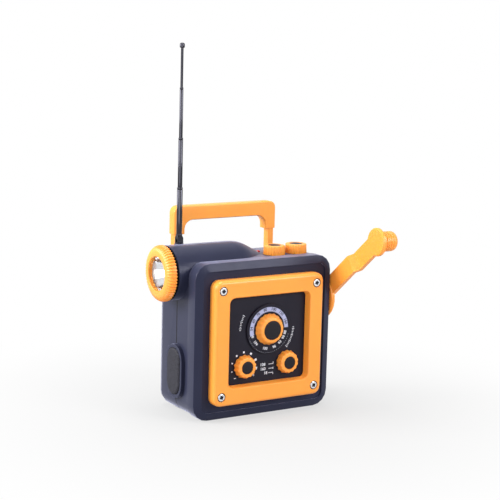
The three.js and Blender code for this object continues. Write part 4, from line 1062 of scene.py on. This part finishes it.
# The rolled collar at a tube's mouth: how far in and how far down each of its rings lies, in mm.
mouth = ((0, 2.2), (0.12, 2), (0.12, 1.7), (0, 1.5), (0, 0.25), (0.1, 0))
for i, radius in enumerate(tube_radii):
    node = f"antenna_tube_{i + 1}"
    low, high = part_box(node)
    at = Vector(((low.x + high.x) / 2, (low.y + high.y) / 2, 0))
    bottom = low.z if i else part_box("antenna_fork")[1].z + foot_gap
    profile = [(radius - tube_edge, bottom), (radius, bottom + tube_edge)]
    if i < 3:
        bore = tube_radii[i + 1] + tube_clearance
        profile += [(radius - inward * mm, high.z - down * mm) for inward, down in mouth]
        profile += [(bore, high.z), (bore, bottom + plug)]
        # The first tube has a floor above its tongue, and the middle two are open right through.
        if i:
            profile = [(bore, bottom), *profile, (bore, bottom)]
    else:
        neck = high.z - button_height
        profile += [(radius, neck - 0.1 * mm), (button_radius * 0.8, neck), (button_radius, neck + 0.5 * mm)]
        profile += quarter(button_radius, button_radius * 0.9, high.z - 1.4 * mm, 1.4 * mm, 5)
    closed = i in (0, 3)
    piece = turned(node + "_form", profile, 40, closed, closed)
    smooth(piece, 35)
    settle(piece, (0, 0, 0), at)
    if i == 0:
        tongue = refined(node, 0.15 * mm)
        hold(tongue)
        bpy.ops.object.mode_set(mode="EDIT")
        bpy.ops.mesh.select_all(action="SELECT")
        cut = (0, 0, bottom + tongue_overlap)
        bpy.ops.mesh.bisect(plane_co=cut, plane_no=(0, 0, 1), clear_outer=True, use_fill=True)
        bpy.ops.object.mode_set(mode="OBJECT")
        piece = merged(node + "_form", [piece, tongue])
    fit(piece, f"antenna_section_{i + 1}", chrome_painted_dark_reflection, node, slot="chrome")

# Carrying handle: a bow of the orange plastic with thinner legs, hung on two steel pins between the
# ears of the rear shell.
handle = refined("handle", 0.7 * mm, 3, 50)
fit(handle, "carrying_handle", orange_plastic, "handle", slot="orange_plastic")

# Crank: a hub disc and a stepped arm, moulded as one in the orange plastic and held on the shaft by
# a steel screw. A grooved knob of the same plastic turns on the pin at the arm's end.
arm = refined("crank_arm", 0.5 * mm, 3)
fit(arm, "crank", orange_plastic, "crank_arm", slot="orange_plastic")
paint(steel, "crank_shaft")
low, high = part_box("crank_knob")
length = high.x - low.x
radius = (high.z - low.z) / 2
bore = 2.3 * mm
grooves = 4
groove = 0.5 * mm
first_groove = 2.2 * mm
pitch = 2.2 * mm
knob_edge = 1.1 * mm
knob_round = 4 * mm
pin_recess = 3.7 * mm
pin_sink = 1.8 * mm
profile = [(bore, 0)]
for i in range(5):
    turn = math.radians(90) * i / 4
    profile.append((radius - knob_edge * (1 - math.sin(turn)), knob_edge * (1 - math.cos(turn))))
for i in range(grooves):
    at = first_groove + i * pitch
    profile += [(radius, at), (radius - groove * 0.8, at + 0.2 * mm), (radius - groove, at + 0.45 * mm)]
    profile += [(radius - groove * 0.8, at + 0.7 * mm), (radius, at + 0.9 * mm)]
profile += quarter(radius, knob_round, length - knob_round, knob_round, 7)
profile += [(pin_recess, length), (pin_recess, length - pin_sink), (bore, length - pin_sink), (bore, 0)]
knob = turned("crank_knob_form", profile, 72, False, False)
smooth(knob, 35)
middle = (low + high) / 2
settle(knob, Euler((0, math.radians(90), 0)), (low.x, middle.y, middle.z))
fit(knob, "crank_grip", orange_plastic, "crank_knob", slot="orange_plastic")

size = {"cad": [list(v) for v in cad_box], "visual": [list(v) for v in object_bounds()]}
